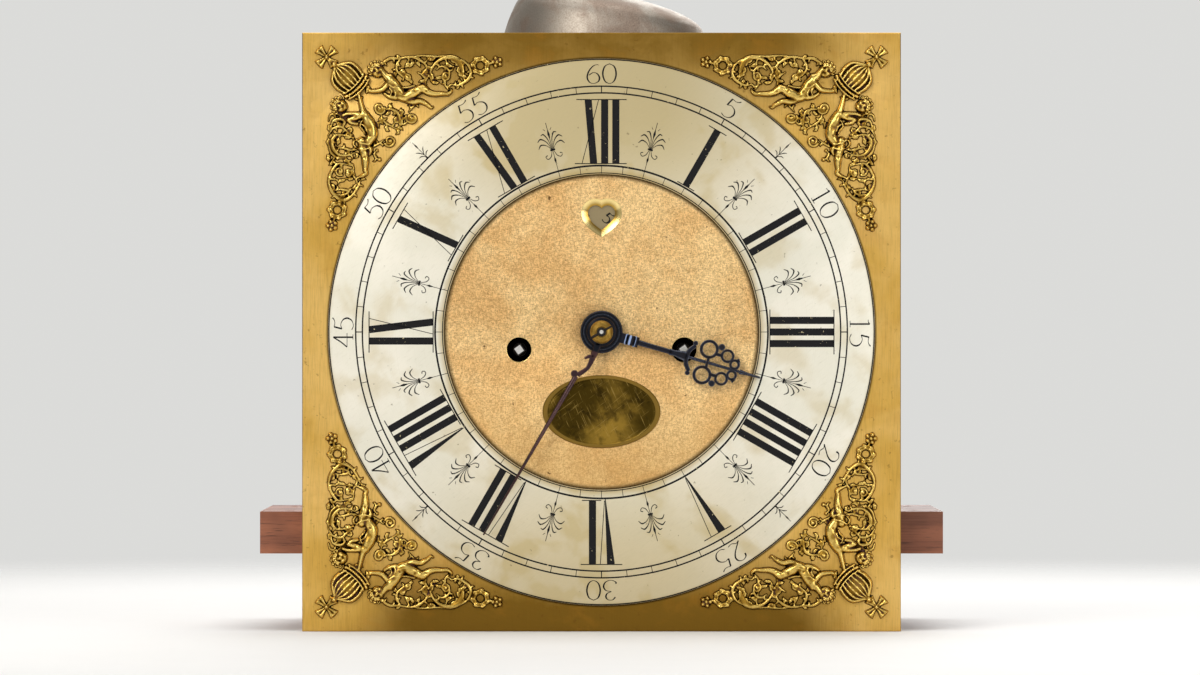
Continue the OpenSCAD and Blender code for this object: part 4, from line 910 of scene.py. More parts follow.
@dataclass
class DialPlate:
    """The square brass plate with its holes and the bevelled heart that shows the day of the month."""
    thickness: float = 2.4
    centre_hole: float = 7
    winding_hole: float = 6.2
    heart_width: float = 13.8
    heart_bevel: float = 3.5
    bevel_depth: float = 1.8
    heart_height: float = 58.7
    screw_at: float = 128.2
    screw_hole: float = 1.26
    edge: float = 0.35

    def build(self) -> list[Thing]:
        """Makes the plate.

        Returns:
            The plate's one piece.
        """
        front, back = PLATE_Y, PLATE_Y + self.thickness
        h = DIAL_SIDE / 2
        t = np.linspace(-1, 1, 24, endpoint=False)
        end = np.ones(24)
        outline = np.vstack([np.stack(side, -1) for side in ((t, -end), (end, t), (-t, end), (-end, -t))]) * h
        corner = np.clip(outline, -h + self.edge, h - self.edge)
        x, z = WINDING_X, WINDING_Z
        holes = [hole((0, 0), self.centre_hole), hole((x, z), self.winding_hole), hole((-x, z), self.winding_hole)]
        at = self.screw_at
        holes += [hole((sx * at, sz * at), self.screw_hole, 16) for sx in (-1, 1) for sz in (-1, 1)]
        parts = [rows_between([corner, outline, outline, corner], [front, front + self.edge, back - self.edge, back])]
        fronts, backs = [corner], [corner]
        for loop in holes:
            wide = inset(loop, self.edge)
            steps = [wide, inset(loop, self.edge * 0.3), loop, loop]
            parts.append(rows_between(steps, [front, front + self.edge * 0.3, front + self.edge, back]))
            fronts.append(wide)
            backs.append(loop)
        opening = heart_outline(self.heart_width, self.heart_height)
        steps = np.linspace(0, 1, 9)
        bevel = [heart_outline(self.heart_width, self.heart_height, self.heart_bevel * (1 - s)) for s in steps]
        rim = bevel[0]
        parts.append(rows_between(bevel + [opening], [front + self.bevel_depth * s for s in steps] + [back]))
        parts += [filled(fronts + [rim], front), filled(backs + [opening], back)]
        plate = Surface.join(parts).piece("dial_sheet", SheetBrass().material(), 25)
        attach(plate, "frame")
        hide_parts("dial_plate")
        return [plate]


class Figure(Enum):
    """The strokes of each digit: points (across, up) in hundredths of its height, thick where the pen comes down."""
    ZERO = ((36, 100, 12, 86, 2, 50, 12, 14, 36, 0, 60, 14, 70, 50, 60, 86, 36, 100),)
    ONE = ((36, 0, 36, 100), (36, 100, 26, 93, 14, 92), (20, 0, 52, 0))
    TWO = ((6, 74, 10, 90, 30, 100, 52, 93, 60, 74, 50, 50, 26, 24, 4, 2), (4, 2, 22, 9, 44, 0, 66, 6))
    THREE = ((6, 84, 20, 98, 42, 98, 54, 84, 48, 66, 26, 56), (26, 56, 54, 50, 66, 30, 56, 8, 30, -2, 6, 6, 2, 16))
    FOUR = ((50, 0, 50, 100), (50, 100, 26, 62, 0, 30), (0, 30, 72, 30), (38, 0, 64, 0))
    FIVE = ((22, 96, 42, 92, 58, 96, 68, 104), (22, 96, 12, 56), (12, 56, 34, 62, 58, 50, 66, 28, 54, 6, 28, -2, 6,
        6))
    SIX = ((60, 96, 36, 90, 12, 62, 4, 30, 16, 6, 38, 0, 60, 10, 66, 30, 54, 50, 34, 55, 12, 42),)
    SEVEN = ((6, 88, 20, 98, 44, 92, 66, 98), (66, 98, 40, 50, 26, 0))
    EIGHT = ((34, 54, 10, 72, 16, 94, 36, 100, 56, 92, 58, 72, 36, 54, 8, 36, 6, 12, 34, 0, 60, 10, 64, 34, 34, 54),)
    NINE = ((10, 4, 34, 10, 58, 38, 66, 70, 54, 94, 32, 100, 10, 90, 4, 70, 16, 50, 36, 45, 58, 58),)


DIGITS = list(Figure)


@dataclass
class Engraver:
    """Cuts lines and figures into a ring. Each is a thin flat ribbon of wax that lies just proud of the metal."""
    face: float
    proud: float = 0.03
    parts: list[Surface] = field(default_factory=list)

    def ribbon(self, path: Array, half: Array | float) -> None:
        """Adds one line: the flat section carried along a path on the ring's face."""
        section = np.array([[1, -0.3], [1, 1], [-1, 1], [-1, -0.3]])
        self.parts.append(swept(on_dial(path, self.face), half, self.proud, section, FRONT))

    def circle(self, radius: float, width: float) -> None:
        """Adds a circle about the dial's centre."""
        self.ribbon(arc_points((0, 0), radius, 0, 360, 361), width / 2)

    def clock_place(self, local: Points, hour_angle: float) -> Array:
        """Moves local points (across, out from the centre) to a clock angle: x = out sin + across cos."""
        (across, out), a = np.transpose(local), radians(hour_angle)
        return np.stack([out * sin(a) + across * cos(a), out * cos(a) - across * sin(a)], -1)

    def line(self, local: Sequence[Point], hour_angle: float, half: float | Numbers,
             curved: bool = False) -> None:
        """Adds a straight or curved line given in local points.

        Args:
            local: Its points, across and out.
            hour_angle: Clock angle that they belong to.
            half: Half width, or several spread along the line.
            curved: True draws a smooth curve through the points.
        """
        path = smooth_path(local, 7) if curved else smooth_path(local[:2], 2) if len(local) == 2 else np.asarray(local)
        width = along(half, len(path)) if isinstance(half, (list, tuple)) else half
        self.ribbon(self.clock_place(path, hour_angle), width)

    def number(self, text: str, hour_angle: float, foot: float, height: float, thick: float, thin: float,
               lean: float = 0) -> None:
        """Adds a number, thick where a stroke runs up and down: half = thin + (thick - thin) |sin slope| squared.

        Args:
            text: The digits.
            hour_angle: Clock angle of its middle.
            foot: Distance of its foot from the centre.
            height: Height of the digits.
            thick: Half width of upright strokes.
            thin: Half width of level strokes.
            lean: Turn of the number about its own middle, clockwise in degrees.
        """
        step = 0.81 * height
        for place, digit in enumerate(text):
            shift = (place - (len(text) - 1) / 2) * step
            for stroke in DIGITS[int(digit)].value:
                p = smooth_path(pairs(stroke, 0.01), 8)
                slope = np.gradient(p, axis=0)
                upright = np.abs(slope[:, 1]) / (np.linalg.norm(slope, axis=1) + 1e-9)
                half = thin + (thick - thin) * upright**2
                local = self.clock_place((p - (0.36, 0.5)) * height + (shift, 0), lean)
                self.ribbon(self.clock_place(local + (0, foot + height / 2), hour_angle), half)

    def piece(self, name: str) -> Thing:
        """Makes all the lines one piece of wax."""
        return Surface.join(self.parts).piece(name, Wax().material(), 30)


@dataclass
class ChapterRing:
    """The silvered ring with its hours in Roman numerals, minutes in figures, and flowers between the hours."""
    outer: float = 139.2
    inner: float = 80.3
    thickness: float = 1.6
    top: float = 118.2
    foot: float = 85.8
    bar: float = 1.82
    hair: float = 0.18
    # Each circle: radius and width; the one at 80.95 is a painted shadow line in wax along the ring's inner edge
    circles: tuple = ((125.1, 0.74), (121.7, 0.76), (84.7, 0.95), (80.95, 0.5), (138.75, 0.62))
    # Each numeral: bars, broad slants (top, bottom), hair slants (top, bottom), ends of the top and bottom serifs
    numerals: dict[int, tuple] = field(default_factory=lambda: {
        1: ([0], [], [], (-5.2, 5.2), (-5, 5)),
        2: ([-3.1, 3.1], [], [], (-8.9, 8.9), (-8.9, 8.9)),
        3: ([-5.9, 0, 5.9], [], [], (-11.4, 11.4), (-11.4, 11.4)),
        4: ([-8.8, -2.9, 2.9, 8.8], [], [], (-14.3, 14.3), (-14.3, 14.3)),
        5: ([], [(-2.4, -0.1)], [(3.8, 0.3)], (-7.9, 7.9), None),
        6: ([4.6], [(-4.8, -1.9)], [(0.6, -1.5)], (-10.6, 10.6), (0.1, 10)),
        7: ([2.2, 8.2], [(-7.8, -4.7)], [(-1.8, -4.3)], (-13.8, 13.8), (-2.3, 13.3)),
        8: ([-0.4, 5.3, 11], [(-10.3, -7.1)], [(-4.3, -6.7)], (-16.2, 16.2), (-4.9, 15.9)),
        9: ([-4.6], [(1.2, 5.1)], [(6.9, -1)], (-10.5, 10.5), (-10.5, 10.5)),
        10: ([], [(-1.7, 1.5)], [(3.8, -4.3)], (-7.7, 7.7), (-7.9, 7.6)),
        11: ([4.1], [(-5, -1.8)], [(0.8, -7.4)], (-10.3, 10.3), (-11.3, 10.3)),
        12: ([1.6, 7.3], [(-6.8, -4)], [(-1.5, -9.9)], (-12.8, 12.8), (-13.6, 12.8)),
    })
    # Each ornament: lines on its middle line, then lines on both sides of it, as (across, out) points and half widths
    flower: tuple = (
        ((((0, 96), (0, 103)), (0.16, 0.16)), (((0, 101.6), (0, 104.2), (0, 106.6)), (0.1, 0.62, 0.12)),
         (((0, 106.4), (0, 110.2)), (0.16, 0.16)), (((-1.3, 96), (1.3, 96)), (0.5, 0.5)),
         (((0, 84.7), (0, 96)), 0.14), (((0, 88.6), (0, 90.6), (0, 92.2)), (0.1, 0.55, 0.1))),
        ((((0.3, 96.6), (1, 101.4), (2.6, 104.6), (4.1, 104.4)), (0.1, 0.2, 0.34, 0.16)),
         (((0.4, 96.5), (2, 100.4), (4.6, 102.6), (6.5, 101.4)), (0.1, 0.2, 0.38, 0.16)),
         (((0.5, 96.4), (2.6, 98.8), (5.2, 99.6), (6.8, 97.8)), (0.1, 0.18, 0.36, 0.14)),
         (((0.4, 95.7), (1.6, 92.8), (3.4, 91.8), (4.3, 93.2), (3.2, 93.8)), (0.12, 0.22, 0.2, 0.2, 0.24)),
         (((1.3, 106.2), (2.2, 107.4)), (0.16, 0.1))))
    sprig: tuple = (
        ((((0, 125.3), (0, 136.2)), (0.2, 0.12)), (((0, 125.3), (0, 127.6)), (0.5, 0.1)),
         (((0, 131.6), (0, 133.6), (0, 135.4)), (0.1, 0.4, 0.1))),
        ((((0, 126.2), (1.6, 127.8), (3, 128)), (0.12, 0.26, 0.12)),
         (((0, 127.6), (1.3, 129.9), (2.5, 131)), (0.12, 0.26, 0.12))))

    def hours(self, cut: Engraver) -> None:
        """Cuts the Roman numerals, whose tops point outwards.

        Args:
            cut: The engraver.
        """
        for hour, (bars, broads, hairs, upper, lower) in self.numerals.items():
            angle = hour * 30
            for x in bars:
                cut.line([(x, self.top), (x, self.foot)], angle, self.bar)
            for high, low in broads:
                pointed = hour in (5, 6, 7, 8)
                cut.line([(high, self.top), (low, self.foot - (0.6 if pointed else 0))], angle,
                         [2, 0.25] if pointed else [self.bar, self.bar])
            for high, low in hairs:
                cut.line([(high, self.top), (low, self.foot)], angle, self.hair)
            cut.line([(upper[0], self.top + 0.1), (upper[1], self.top + 0.1)], angle, 0.24)
            if lower:
                cut.line([(lower[0], self.foot - 0.1), (lower[1], self.foot - 0.1)], angle, 0.24)

    def ornament(self, cut: Engraver, angle: float, lines: tuple) -> None:
        """Cuts an ornament, the same on both sides of its middle line.

        Args:
            cut: The engraver.
            angle: Its clock angle.
            lines: Its middle lines and its side lines.
        """
        for points, half in lines[0]:
            cut.line(points, angle, half)
        for side in (-1, 1):
            for points, half in lines[1]:
                cut.line([(side * across, out) for across, out in points], angle, half, len(points) > 2)

    def build(self) -> list[Thing]:
        """Makes the ring and its engraving.

        Returns:
            The ring and the wax.
        """
        back, b = RING_Y + self.thickness, 0.22
        line = [(self.inner + b, RING_Y), (self.inner, RING_Y + b), (self.inner, back), (self.outer, back),
                (self.outer, RING_Y + b), (self.outer - b * 0.3, RING_Y + b * 0.3), (self.outer - b, RING_Y)]
        ring = turned((0, 0), line, 240, True).piece("chapter_ring_silvered", Silvering().material(), 30)
        cut = Engraver(RING_Y)
        for radius, width in self.circles:
            cut.circle(radius, width)
        for k in range(60):
            cut.line([(0, 121.7), (0, 125.1)], 6 * k, 0.17 if k % 5 else 0.26)
        for k in range(48):
            cut.line([(0, 80.6), (0, 84.7)], 7.5 * k, 0.15)
        self.hours(cut)
        for k in range(12):
            cut.number(str(5 * k or 60), 30 * k, 126.5, 10, 0.42, 0.15)
            self.ornament(cut, 30 * k + 15, self.flower)
        for k in range(4):
            self.ornament(cut, 45 + 90 * k, self.sprig)
        wax = cut.piece("chapter_engraving")
        for piece in (ring, wax):
            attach(piece, "frame")
        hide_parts("chapter_ring")
        return [ring, wax]


@dataclass
class DateRing:
    """The figures on the calendar ring behind the heart, where the fifth day shows."""
    face: float = -97.7
    foot: float = 55.4
    height: float = 5.6
    shown: int = 5
    shown_angle: float = 3.2
    lean: float = 38

    def build(self) -> list[Thing]:
        """Makes the numbers, one to thirty-one, clockwise round the ring.

        Returns:
            The wax.
        """
        cut = Engraver(self.face, 0.02)
        for day in range(1, 32):
            cut.number(str(day), self.shown_angle + (day - self.shown) * 360 / 31, self.foot, self.height,
                       0.5, 0.2, self.lean)
        wax = cut.piece("date_numbers")
        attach(wax, "calendar")
        return [wax]


@dataclass
class Plaque:
    """The bare oval plaque under the middle: a thin plate with a bevelled edge and one border line."""
    width: float = 60
    height: float = 37
    thickness: float = 0.8
    drop: float = 40.5
    border: float = 0.895

    def oval(self, share: float, count: int = 144) -> Array:
        """Outline of the plaque times a share: (w cos a, h sin a) / 2."""
        a = np.linspace(0, 2 * pi, count, endpoint=False)
        return np.stack([self.width / 2 * share * np.cos(a), self.height / 2 * share * np.sin(a) - self.drop], -1)

    def build(self) -> list[Thing]:
        """Makes the plaque.

        Returns:
            Its one piece.
        """
        front = PLATE_Y - self.thickness
        shares = [1, 1, 0.985, 0.93, self.border + 0.012, self.border, self.border - 0.012]
        depths = [PLATE_Y, front + 0.35, front + 0.04, front, front, front + 0.12, front]
        parts = [rows_between([self.oval(s) for s in shares], depths)]
        steps = np.linspace(self.border - 0.012, 0, 18)
        parts.append(rows_between([self.oval(max(s, 1e-4)) for s in steps], [front] * 18))
        parts.append(filled([self.oval(1)], PLATE_Y))
        plaque = Surface.join(parts).piece("oval_plate", OldPlaque().material(), 30)
        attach(plaque, "frame")
        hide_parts("name_plaque")
        return [plaque]


# Castings

class Corner(Enum):
    """The four corners of the dial, as the signs of x and z."""
    TOP_LEFT = (-1, 1)
    TOP_RIGHT = (1, 1)
    BOTTOM_LEFT = (-1, -1)
    BOTTOM_RIGHT = (1, -1)

    @property
    def node(self) -> str:
        """Name of this corner's CAD node."""
        return "spandrel_" + self.name.lower()


@dataclass
class Relief:
    """A field of heights on a square grid, in millimetres, from which the front of a casting is made.

    A shape raises the field to the greater of the two heights a and b, plus k (1 - |a - b| / k)^2 / 4 where they lie
    closer than k, so that neighbours run together as they do in wax. The field's axes start at the dial's corner.
    """

    side: float = 104
    step: float = 0.28

    def __post_init__(self) -> None:
        """Starts an empty field."""
        self.line = np.arange(0, self.side + self.step, self.step)
        self.height = np.full((len(self.line), len(self.line)), FAR_DOWN)

    def window(self, points: Array, reach: float) -> tuple[tuple[slice, slice], Array, Array]:
        """Finds the part of the field near some points.

        Args:
            points: The points.
            reach: Distance from them that counts as near.

        Returns:
            The part's slices and both coordinates of the grid points in it.
        """
        low = np.clip(((points.min(axis=0) - reach) / self.step).astype(int), 0, len(self.line) - 2)
        high = np.clip(((points.max(axis=0) + reach) / self.step).astype(int) + 2, 2, len(self.line))
        cut = (slice(low[0], high[0]), slice(low[1], high[1]))
        u, v = np.meshgrid(self.line[cut[0]], self.line[cut[1]], indexing="ij")
        return cut, u, v

    def join(self, cut: tuple[slice, slice], value: Array, blend: float) -> None:
        """Raises part of the field to a shape's heights, run together over the blend distance."""
        old = self.height[cut]
        near = np.clip(1 - np.abs(old - value) / blend, 0, 1)
        self.height[cut] = np.maximum(old, value) + near**2 * blend / 4

    def tube(self, points: Points, half: Numbers, height: Numbers, blend: float = 0.16,
             full: float = 0.5, groove: float = 0) -> None:
        """Adds a bar with round ends along a smooth curve.

        Its height is h (1 - s^2)^full, with s the distance over the half width, less groove h exp(-(s / 0.3)^2).

        Args:
            points: The curve's points.
            half: Half widths spread along it.
            height: Heights spread along it.
            blend: Distance over which it runs into its neighbours.
            full: Under a half makes it flatter on top.
            groove: Depth of the groove along its middle, as a share of its height.
        """
        p = smooth_path(points, 8 if len(points) < 20 else 1)
        start, span = p[:-1], np.diff(p, axis=0)
        cut, u, v = self.window(p, max(half) + 0.7)
        du, dv = u[..., None] - start[:, 0], v[..., None] - start[:, 1]
        t = np.clip((du * span[:, 0] + dv * span[:, 1]) / ((span**2).sum(axis=1) + 1e-12), 0, 1)
        away = np.hypot(du - t * span[:, 0], dv - t * span[:, 1])
        nearest = away.argmin(axis=-1)[..., None]
        run = (nearest + np.take_along_axis(t, nearest, -1))[..., 0]
        away = np.take_along_axis(away, nearest, -1)[..., 0]
        w = np.interp(run, np.arange(len(p)), along(half, len(p)))
        s = away / w
        value = np.interp(run, np.arange(len(p)), along(height, len(p)))
        value = value * (np.clip(1 - s**2, 0, 1) ** full - groove * np.exp(-((s / 0.3) ** 2)))
        value = np.where(s < 1, value, np.where(away < w + 0.5, -3 * (away - w), FAR_DOWN))
        self.join(cut, value, blend)

    def dome(self, centre: Point, radius: float, height: float, lobes: int = 0, depth: float = 0,
             blend: float = 0.16) -> None:
        """Adds a dome h (1 - r^2)^0.45 whose radius shrinks by depth |cos(lobes a / 2)|^3, for a bud or a rosette.

        Args:
            centre: Its middle.
            radius: Its radius.
            height: Its height.
            lobes: Number of petals.
            depth: Depth between petals, as a share of the radius.
            blend: Distance over which it runs into its neighbours.
        """
        cut, u, v = self.window(np.array([centre]), radius + 0.7)
        reach = np.hypot(u - centre[0], v - centre[1])
        edge = radius * (1 - depth * np.abs(np.cos(lobes * np.arctan2(v - centre[1], u - centre[0]) / 2)) ** 3)
        value = np.where(reach < edge, height * np.clip(1 - (reach / edge) ** 2, 0, 1) ** 0.45,
                         np.where(reach < edge + 0.5, -3 * (reach - edge), FAR_DOWN))
        self.join(cut, value, blend)

    def dent(self, centre: Point, radius: float, depth: float) -> None:
        """Lowers the field by depth exp(-(d / radius)^2) about a point, or raises it where the depth is negative."""
        cut, u, v = self.window(np.array([centre]), radius * 2.5)
        solid = self.height[cut] > 0.3
        self.height[cut] -= solid * depth * np.exp(-((u - centre[0]) ** 2 + (v - centre[1]) ** 2) / radius**2)

    @staticmethod
    def softened(values: Array, times: int) -> Array:
        """Averages each grid point with its neighbours along both axes, in shares 1, 2, 1, that many times."""
        for _ in range(times):
            for axis in (0, 1):
                values = (np.roll(values, 1, axis) + 2 * values + np.roll(values, -1, axis)) / 4
        return values

    def surface(self) -> tuple[Surface, Array]:
        """Makes the surface of all that stands above the plate, a little sunk into it.

        Returns:
            The surface, drawn from the corner with heights towards the front, and how far each point stands proud of
            what is around it: 0 deep in a hollow, 1 on a ridge.
        """
        risen = self.softened(np.maximum(self.height, -0.9), 1)
        solid = np.maximum(risen, 0)
        proud = np.clip(0.5 + (solid - self.softened(solid, 14)) / 1.7, 0, 1)
        stands = risen > 0
        cells = stands[:-1, :-1] | stands[1:, :-1] | stands[1:, 1:] | stands[:-1, 1:]
        i, j = np.nonzero(cells)
        n = len(self.line)
        faces = np.stack([i * n + j, (i + 1) * n + j, (i + 1) * n + j + 1, i * n + j + 1], -1)
        used, faces = np.unique(faces, return_inverse=True)
        u, v = np.meshgrid(self.line, self.line, indexing="ij")
        points = np.stack([u, PLATE_Y - risen, v], -1).reshape(-1, 3)[used]
        return Surface(points, [faces.reshape(-1, 4)]), proud.reshape(-1)[used]


@dataclass
class CastingPattern(Relief):
    """The pattern of the corner castings: an arm of scrolls and a figure along each edge, a crown and a cross between.

    Each vine and fold is (half widths, height, points), each leaf (half width, height, points), each limb (half widths,
    heights, points), with the points' two coordinates in turn, in tenths. Each scroll end is (eye, radius, start,
    sweep), each bud and each dent of the modelling (middle, radius, height).
    """
    vines: tuple = (
        ((0.5, 1, 0.9), 2.1, 379, 194, 405, 160, 446, 133, 492, 133),
        ((0.7, 0.85, 0.95, 0.7), 2.2, 490, 136, 522, 127, 563, 125, 599, 139, 629, 163, 648, 189),
        ((0.5, 0.7, 0.6, 0.8), 1.9, 537, 123, 614, 118, 675, 122, 726, 121, 762, 125),
        ((0.9, 0.8, 0.7), 2.1, 497, 139, 482, 163, 483, 194, 506, 219, 532, 235),
        ((0.8, 0.9, 1.1, 1.3, 1.6, 1.7), 2.5, 652, 204, 662, 178, 684, 151, 721, 130, 761, 127, 795, 144, 810, 173,
         818, 201),
        ((0.5, 0.8, 1, 1.1, 0.9, 0.6), 2.3, 777, 130, 818, 142, 846, 168, 859, 204, 846, 235, 818, 257, 787, 269,
         757, 261), ((0.6, 0.9, 0.8, 0.6), 2.2, 683, 189, 706, 173, 732, 177, 750, 201, 750, 229),
        ((0.6, 0.8, 0.8, 0.6), 2.2, 721, 204, 712, 225, 726, 248, 729, 270, 744, 290),
        ((0.6, 0.8, 0.9), 2.1, 588, 201, 609, 215, 629, 229, 655, 219),
        ((0.6, 0.9, 0.8, 0.7), 2.1, 430, 391, 461, 390, 487, 406, 495, 433, 512, 453),
        ((0.55, 0.6), 1.8, 542, 403, 559, 382, 579, 362),
        ((0.6, 0.8, 0.6), 2, 134, 450, 143, 421, 172, 414, 208, 428),
        ((0.7, 1, 0.9, 0.6), 2.2, 146, 491, 158, 450, 200, 440, 219, 459, 206, 478),
        ((0.6, 0.9, 0.8, 0.6), 2.1, 133, 523, 159, 487, 200, 479, 230, 504, 260, 522),
        ((0.7, 1.1, 1.3, 1.1, 0.8, 0.6), 2.4, 218, 523, 180, 520, 154, 546, 157, 586, 186, 620, 231, 625, 270, 611),
        ((0.6, 0.8, 0.8, 0.5), 1.9, 132, 529, 136, 574, 151, 614, 186, 638, 225, 635),
        ((0.7, 0.9, 0.6), 2.1, 186, 586, 219, 590, 249, 598, 280, 595),
        ((0.6, 0.9, 0.9, 0.7, 0.5), 2.2, 225, 671, 190, 665, 164, 685, 146, 719, 149, 745, 180, 748),
        ((0.8, 1, 1.2, 1.1, 0.8, 0.7), 2.4, 138, 721, 136, 767, 155, 812, 201, 852, 249, 834, 283, 787, 294, 757),
        ((0.6, 0.9, 0.8, 0.6), 2.1, 160, 806, 202, 798, 237, 810, 208, 827, 172, 821),
        ((0.7, 0.8, 0.6), 2.1, 260, 727, 274, 745, 282, 772), ((0.55, 0.6), 1.9, 353, 588, 383, 570, 416, 546),
        ((0.6, 0.9, 0.9, 0.7), 2.1, 423, 388, 460, 393, 491, 417, 498, 450, 519, 470),
        ((0.6, 0.8, 0.6), 1.9, 402, 421, 416, 450, 443, 469, 475, 488),
        ((0.6, 0.7, 0.6), 1.9, 381, 600, 366, 618, 378, 640, 394, 645),)
    leaves: tuple = (
        (0.9, 2, 497, 138, 490, 122, 474, 116), (1.1, 2.3, 522, 178, 537, 163, 537, 142),
        (1, 2.2, 545, 178, 559, 159, 569, 141), (1, 2.1, 486, 194, 471, 215, 477, 234),
        (1.2, 2.3, 502, 219, 522, 221, 548, 233), (1, 2, 532, 235, 553, 246, 559, 265),
        (0.9, 2, 573, 153, 593, 159, 600, 178), (1.1, 2.2, 648, 189, 629, 199, 609, 194),
        (0.9, 2.1, 648, 189, 634, 173, 624, 150), (1, 2.2, 655, 148, 648, 133, 634, 125),
        (1, 2.2, 655, 148, 667, 133, 685, 127), (0.8, 2.3, 655, 148, 655, 135, 656, 121),
        (0.8, 2.4, 726, 120, 706, 135, 686, 150), (1.3, 2.4, 648, 204, 634, 222, 630, 250),
        (1.3, 2.4, 648, 204, 660, 224, 655, 248), (1.1, 2.2, 648, 204, 624, 212, 611, 229),
        (1.1, 2.1, 630, 250, 612, 247, 593, 252), (0.9, 2, 630, 250, 627, 265, 634, 276),
        (1, 1.9, 675, 239, 695, 229, 721, 234), (1, 1.9, 655, 248, 678, 256, 700, 253),
        (1.1, 2.4, 736, 148, 746, 166, 770, 174), (0.9, 2.2, 732, 177, 738, 159, 734, 144),
        (1.2, 2.5, 811, 178, 795, 189, 801, 207), (1.2, 2.5, 813, 194, 803, 210, 813, 225),
        (1.1, 2.4, 818, 201, 818, 219, 834, 223), (1.1, 2.5, 795, 144, 787, 159, 800, 171),
        (1, 2.4, 761, 129, 768, 146, 787, 148), (1, 2.1, 818, 257, 802, 250, 800, 232),
        (0.8, 1.8, 787, 269, 795, 280, 777, 283), (0.9, 2, 843, 163, 862, 159, 869, 144),
        (1.1, 2.1, 495, 433, 476, 439, 469, 458), (1.2, 2.2, 495, 433, 503, 458, 494, 479),
        (0.9, 2, 495, 433, 517, 438, 532, 428), (0.8, 1.9, 487, 406, 503, 397, 503, 382),
        (0.9, 1.9, 446, 392, 436, 413, 418, 418), (1.1, 2.1, 400, 428, 400, 448, 412, 469),
        (1.1, 2, 149, 467, 138, 484, 141, 506), (1, 2.1, 174, 450, 186, 467, 174, 479),
        (0.9, 2, 200, 440, 225, 433, 237, 450), (1, 2.1, 230, 504, 242, 489, 259, 495),
        (1, 2.1, 230, 504, 234, 523, 251, 535), (1.1, 2.1, 154, 546, 134, 552, 129, 574),
        (1.1, 2.3, 174, 535, 186, 552, 177, 574), (1, 2.2, 186, 620, 174, 603, 176, 583),
        (0.9, 2.1, 231, 625, 237, 608, 228, 595), (0.9, 2, 270, 611, 282, 625, 267, 642),
        (1, 1.9, 208, 642, 225, 654, 253, 649), (1.1, 1.9, 146, 620, 132, 634, 138, 658),
        (0.9, 1.8, 157, 642, 151, 665, 134, 676), (1, 2.1, 190, 665, 199, 683, 190, 703),
        (1, 2, 225, 671, 249, 671, 265, 688), (1, 2.1, 265, 688, 256, 708, 271, 725),
        (1, 2, 180, 748, 202, 753, 225, 742), (1, 2.1, 225, 742, 248, 745, 260, 733),
        (0.9, 2.1, 149, 767, 160, 784, 151, 801), (1, 2.1, 283, 787, 266, 789, 259, 806),
        (0.9, 2.2, 201, 852, 208, 835, 226, 823), (0.7, 1.8, 294, 757, 310, 744, 327, 748),
        (0.8, 1.8, 383, 570, 378, 552, 362, 546), (0.9, 2, 434, 468, 429, 491, 446, 502),
        (0.9, 1.9, 475, 488, 491, 506, 475, 520), (0.9, 1.9, 475, 488, 498, 485, 514, 497),
        (0.9, 1.9, 400, 450, 385, 467, 393, 487), (0.8, 1.8, 491, 417, 511, 408, 517, 391),
        (0.9, 2, 498, 450, 480, 455, 469, 444), (0.7, 1.8, 446, 388, 443, 371, 458, 359),)
    scroll_ends: tuple = (
        ((53.7, 22.9), 1.7, 200, 400), ((73.1, 22), 2.1, 100, -420), ((55.9, 43.6), 2.6, 180, -560),
        ((39.2, 38.2), 2.8, 0, 520), ((44.6, 55.2), 2.8, 150, -560), ((55.4, 43.3), 2.6, 200, -520),
        ((19.2, 70.6), 2.2, 60, 420), ((23.6, 71.7), 1.8, 240, 400), ((39.5, 38.8), 2.7, 20, 520),
        ((23.6, 52.7), 1.6, 140, 420), ((51.2, 19.9), 1.4, 20, 380),)
    buds: tuple = (
        ((39.4, 64.6), 1.2, 2.2), ((38.1, 60), 1, 2.1), ((65.5, 13.9), 0.9, 2.9), ((64.4, 22.1), 1.1, 3),
        ((83, 22.3), 1, 2.6), ((26, 53.6), 0.9, 2.4), ((18, 64.2), 0.9, 2.2), ((77, 17.4), 0.8, 2.6),
        ((13.8, 64.2), 1, 2.1), ((14.3, 74), 1, 2.3),)
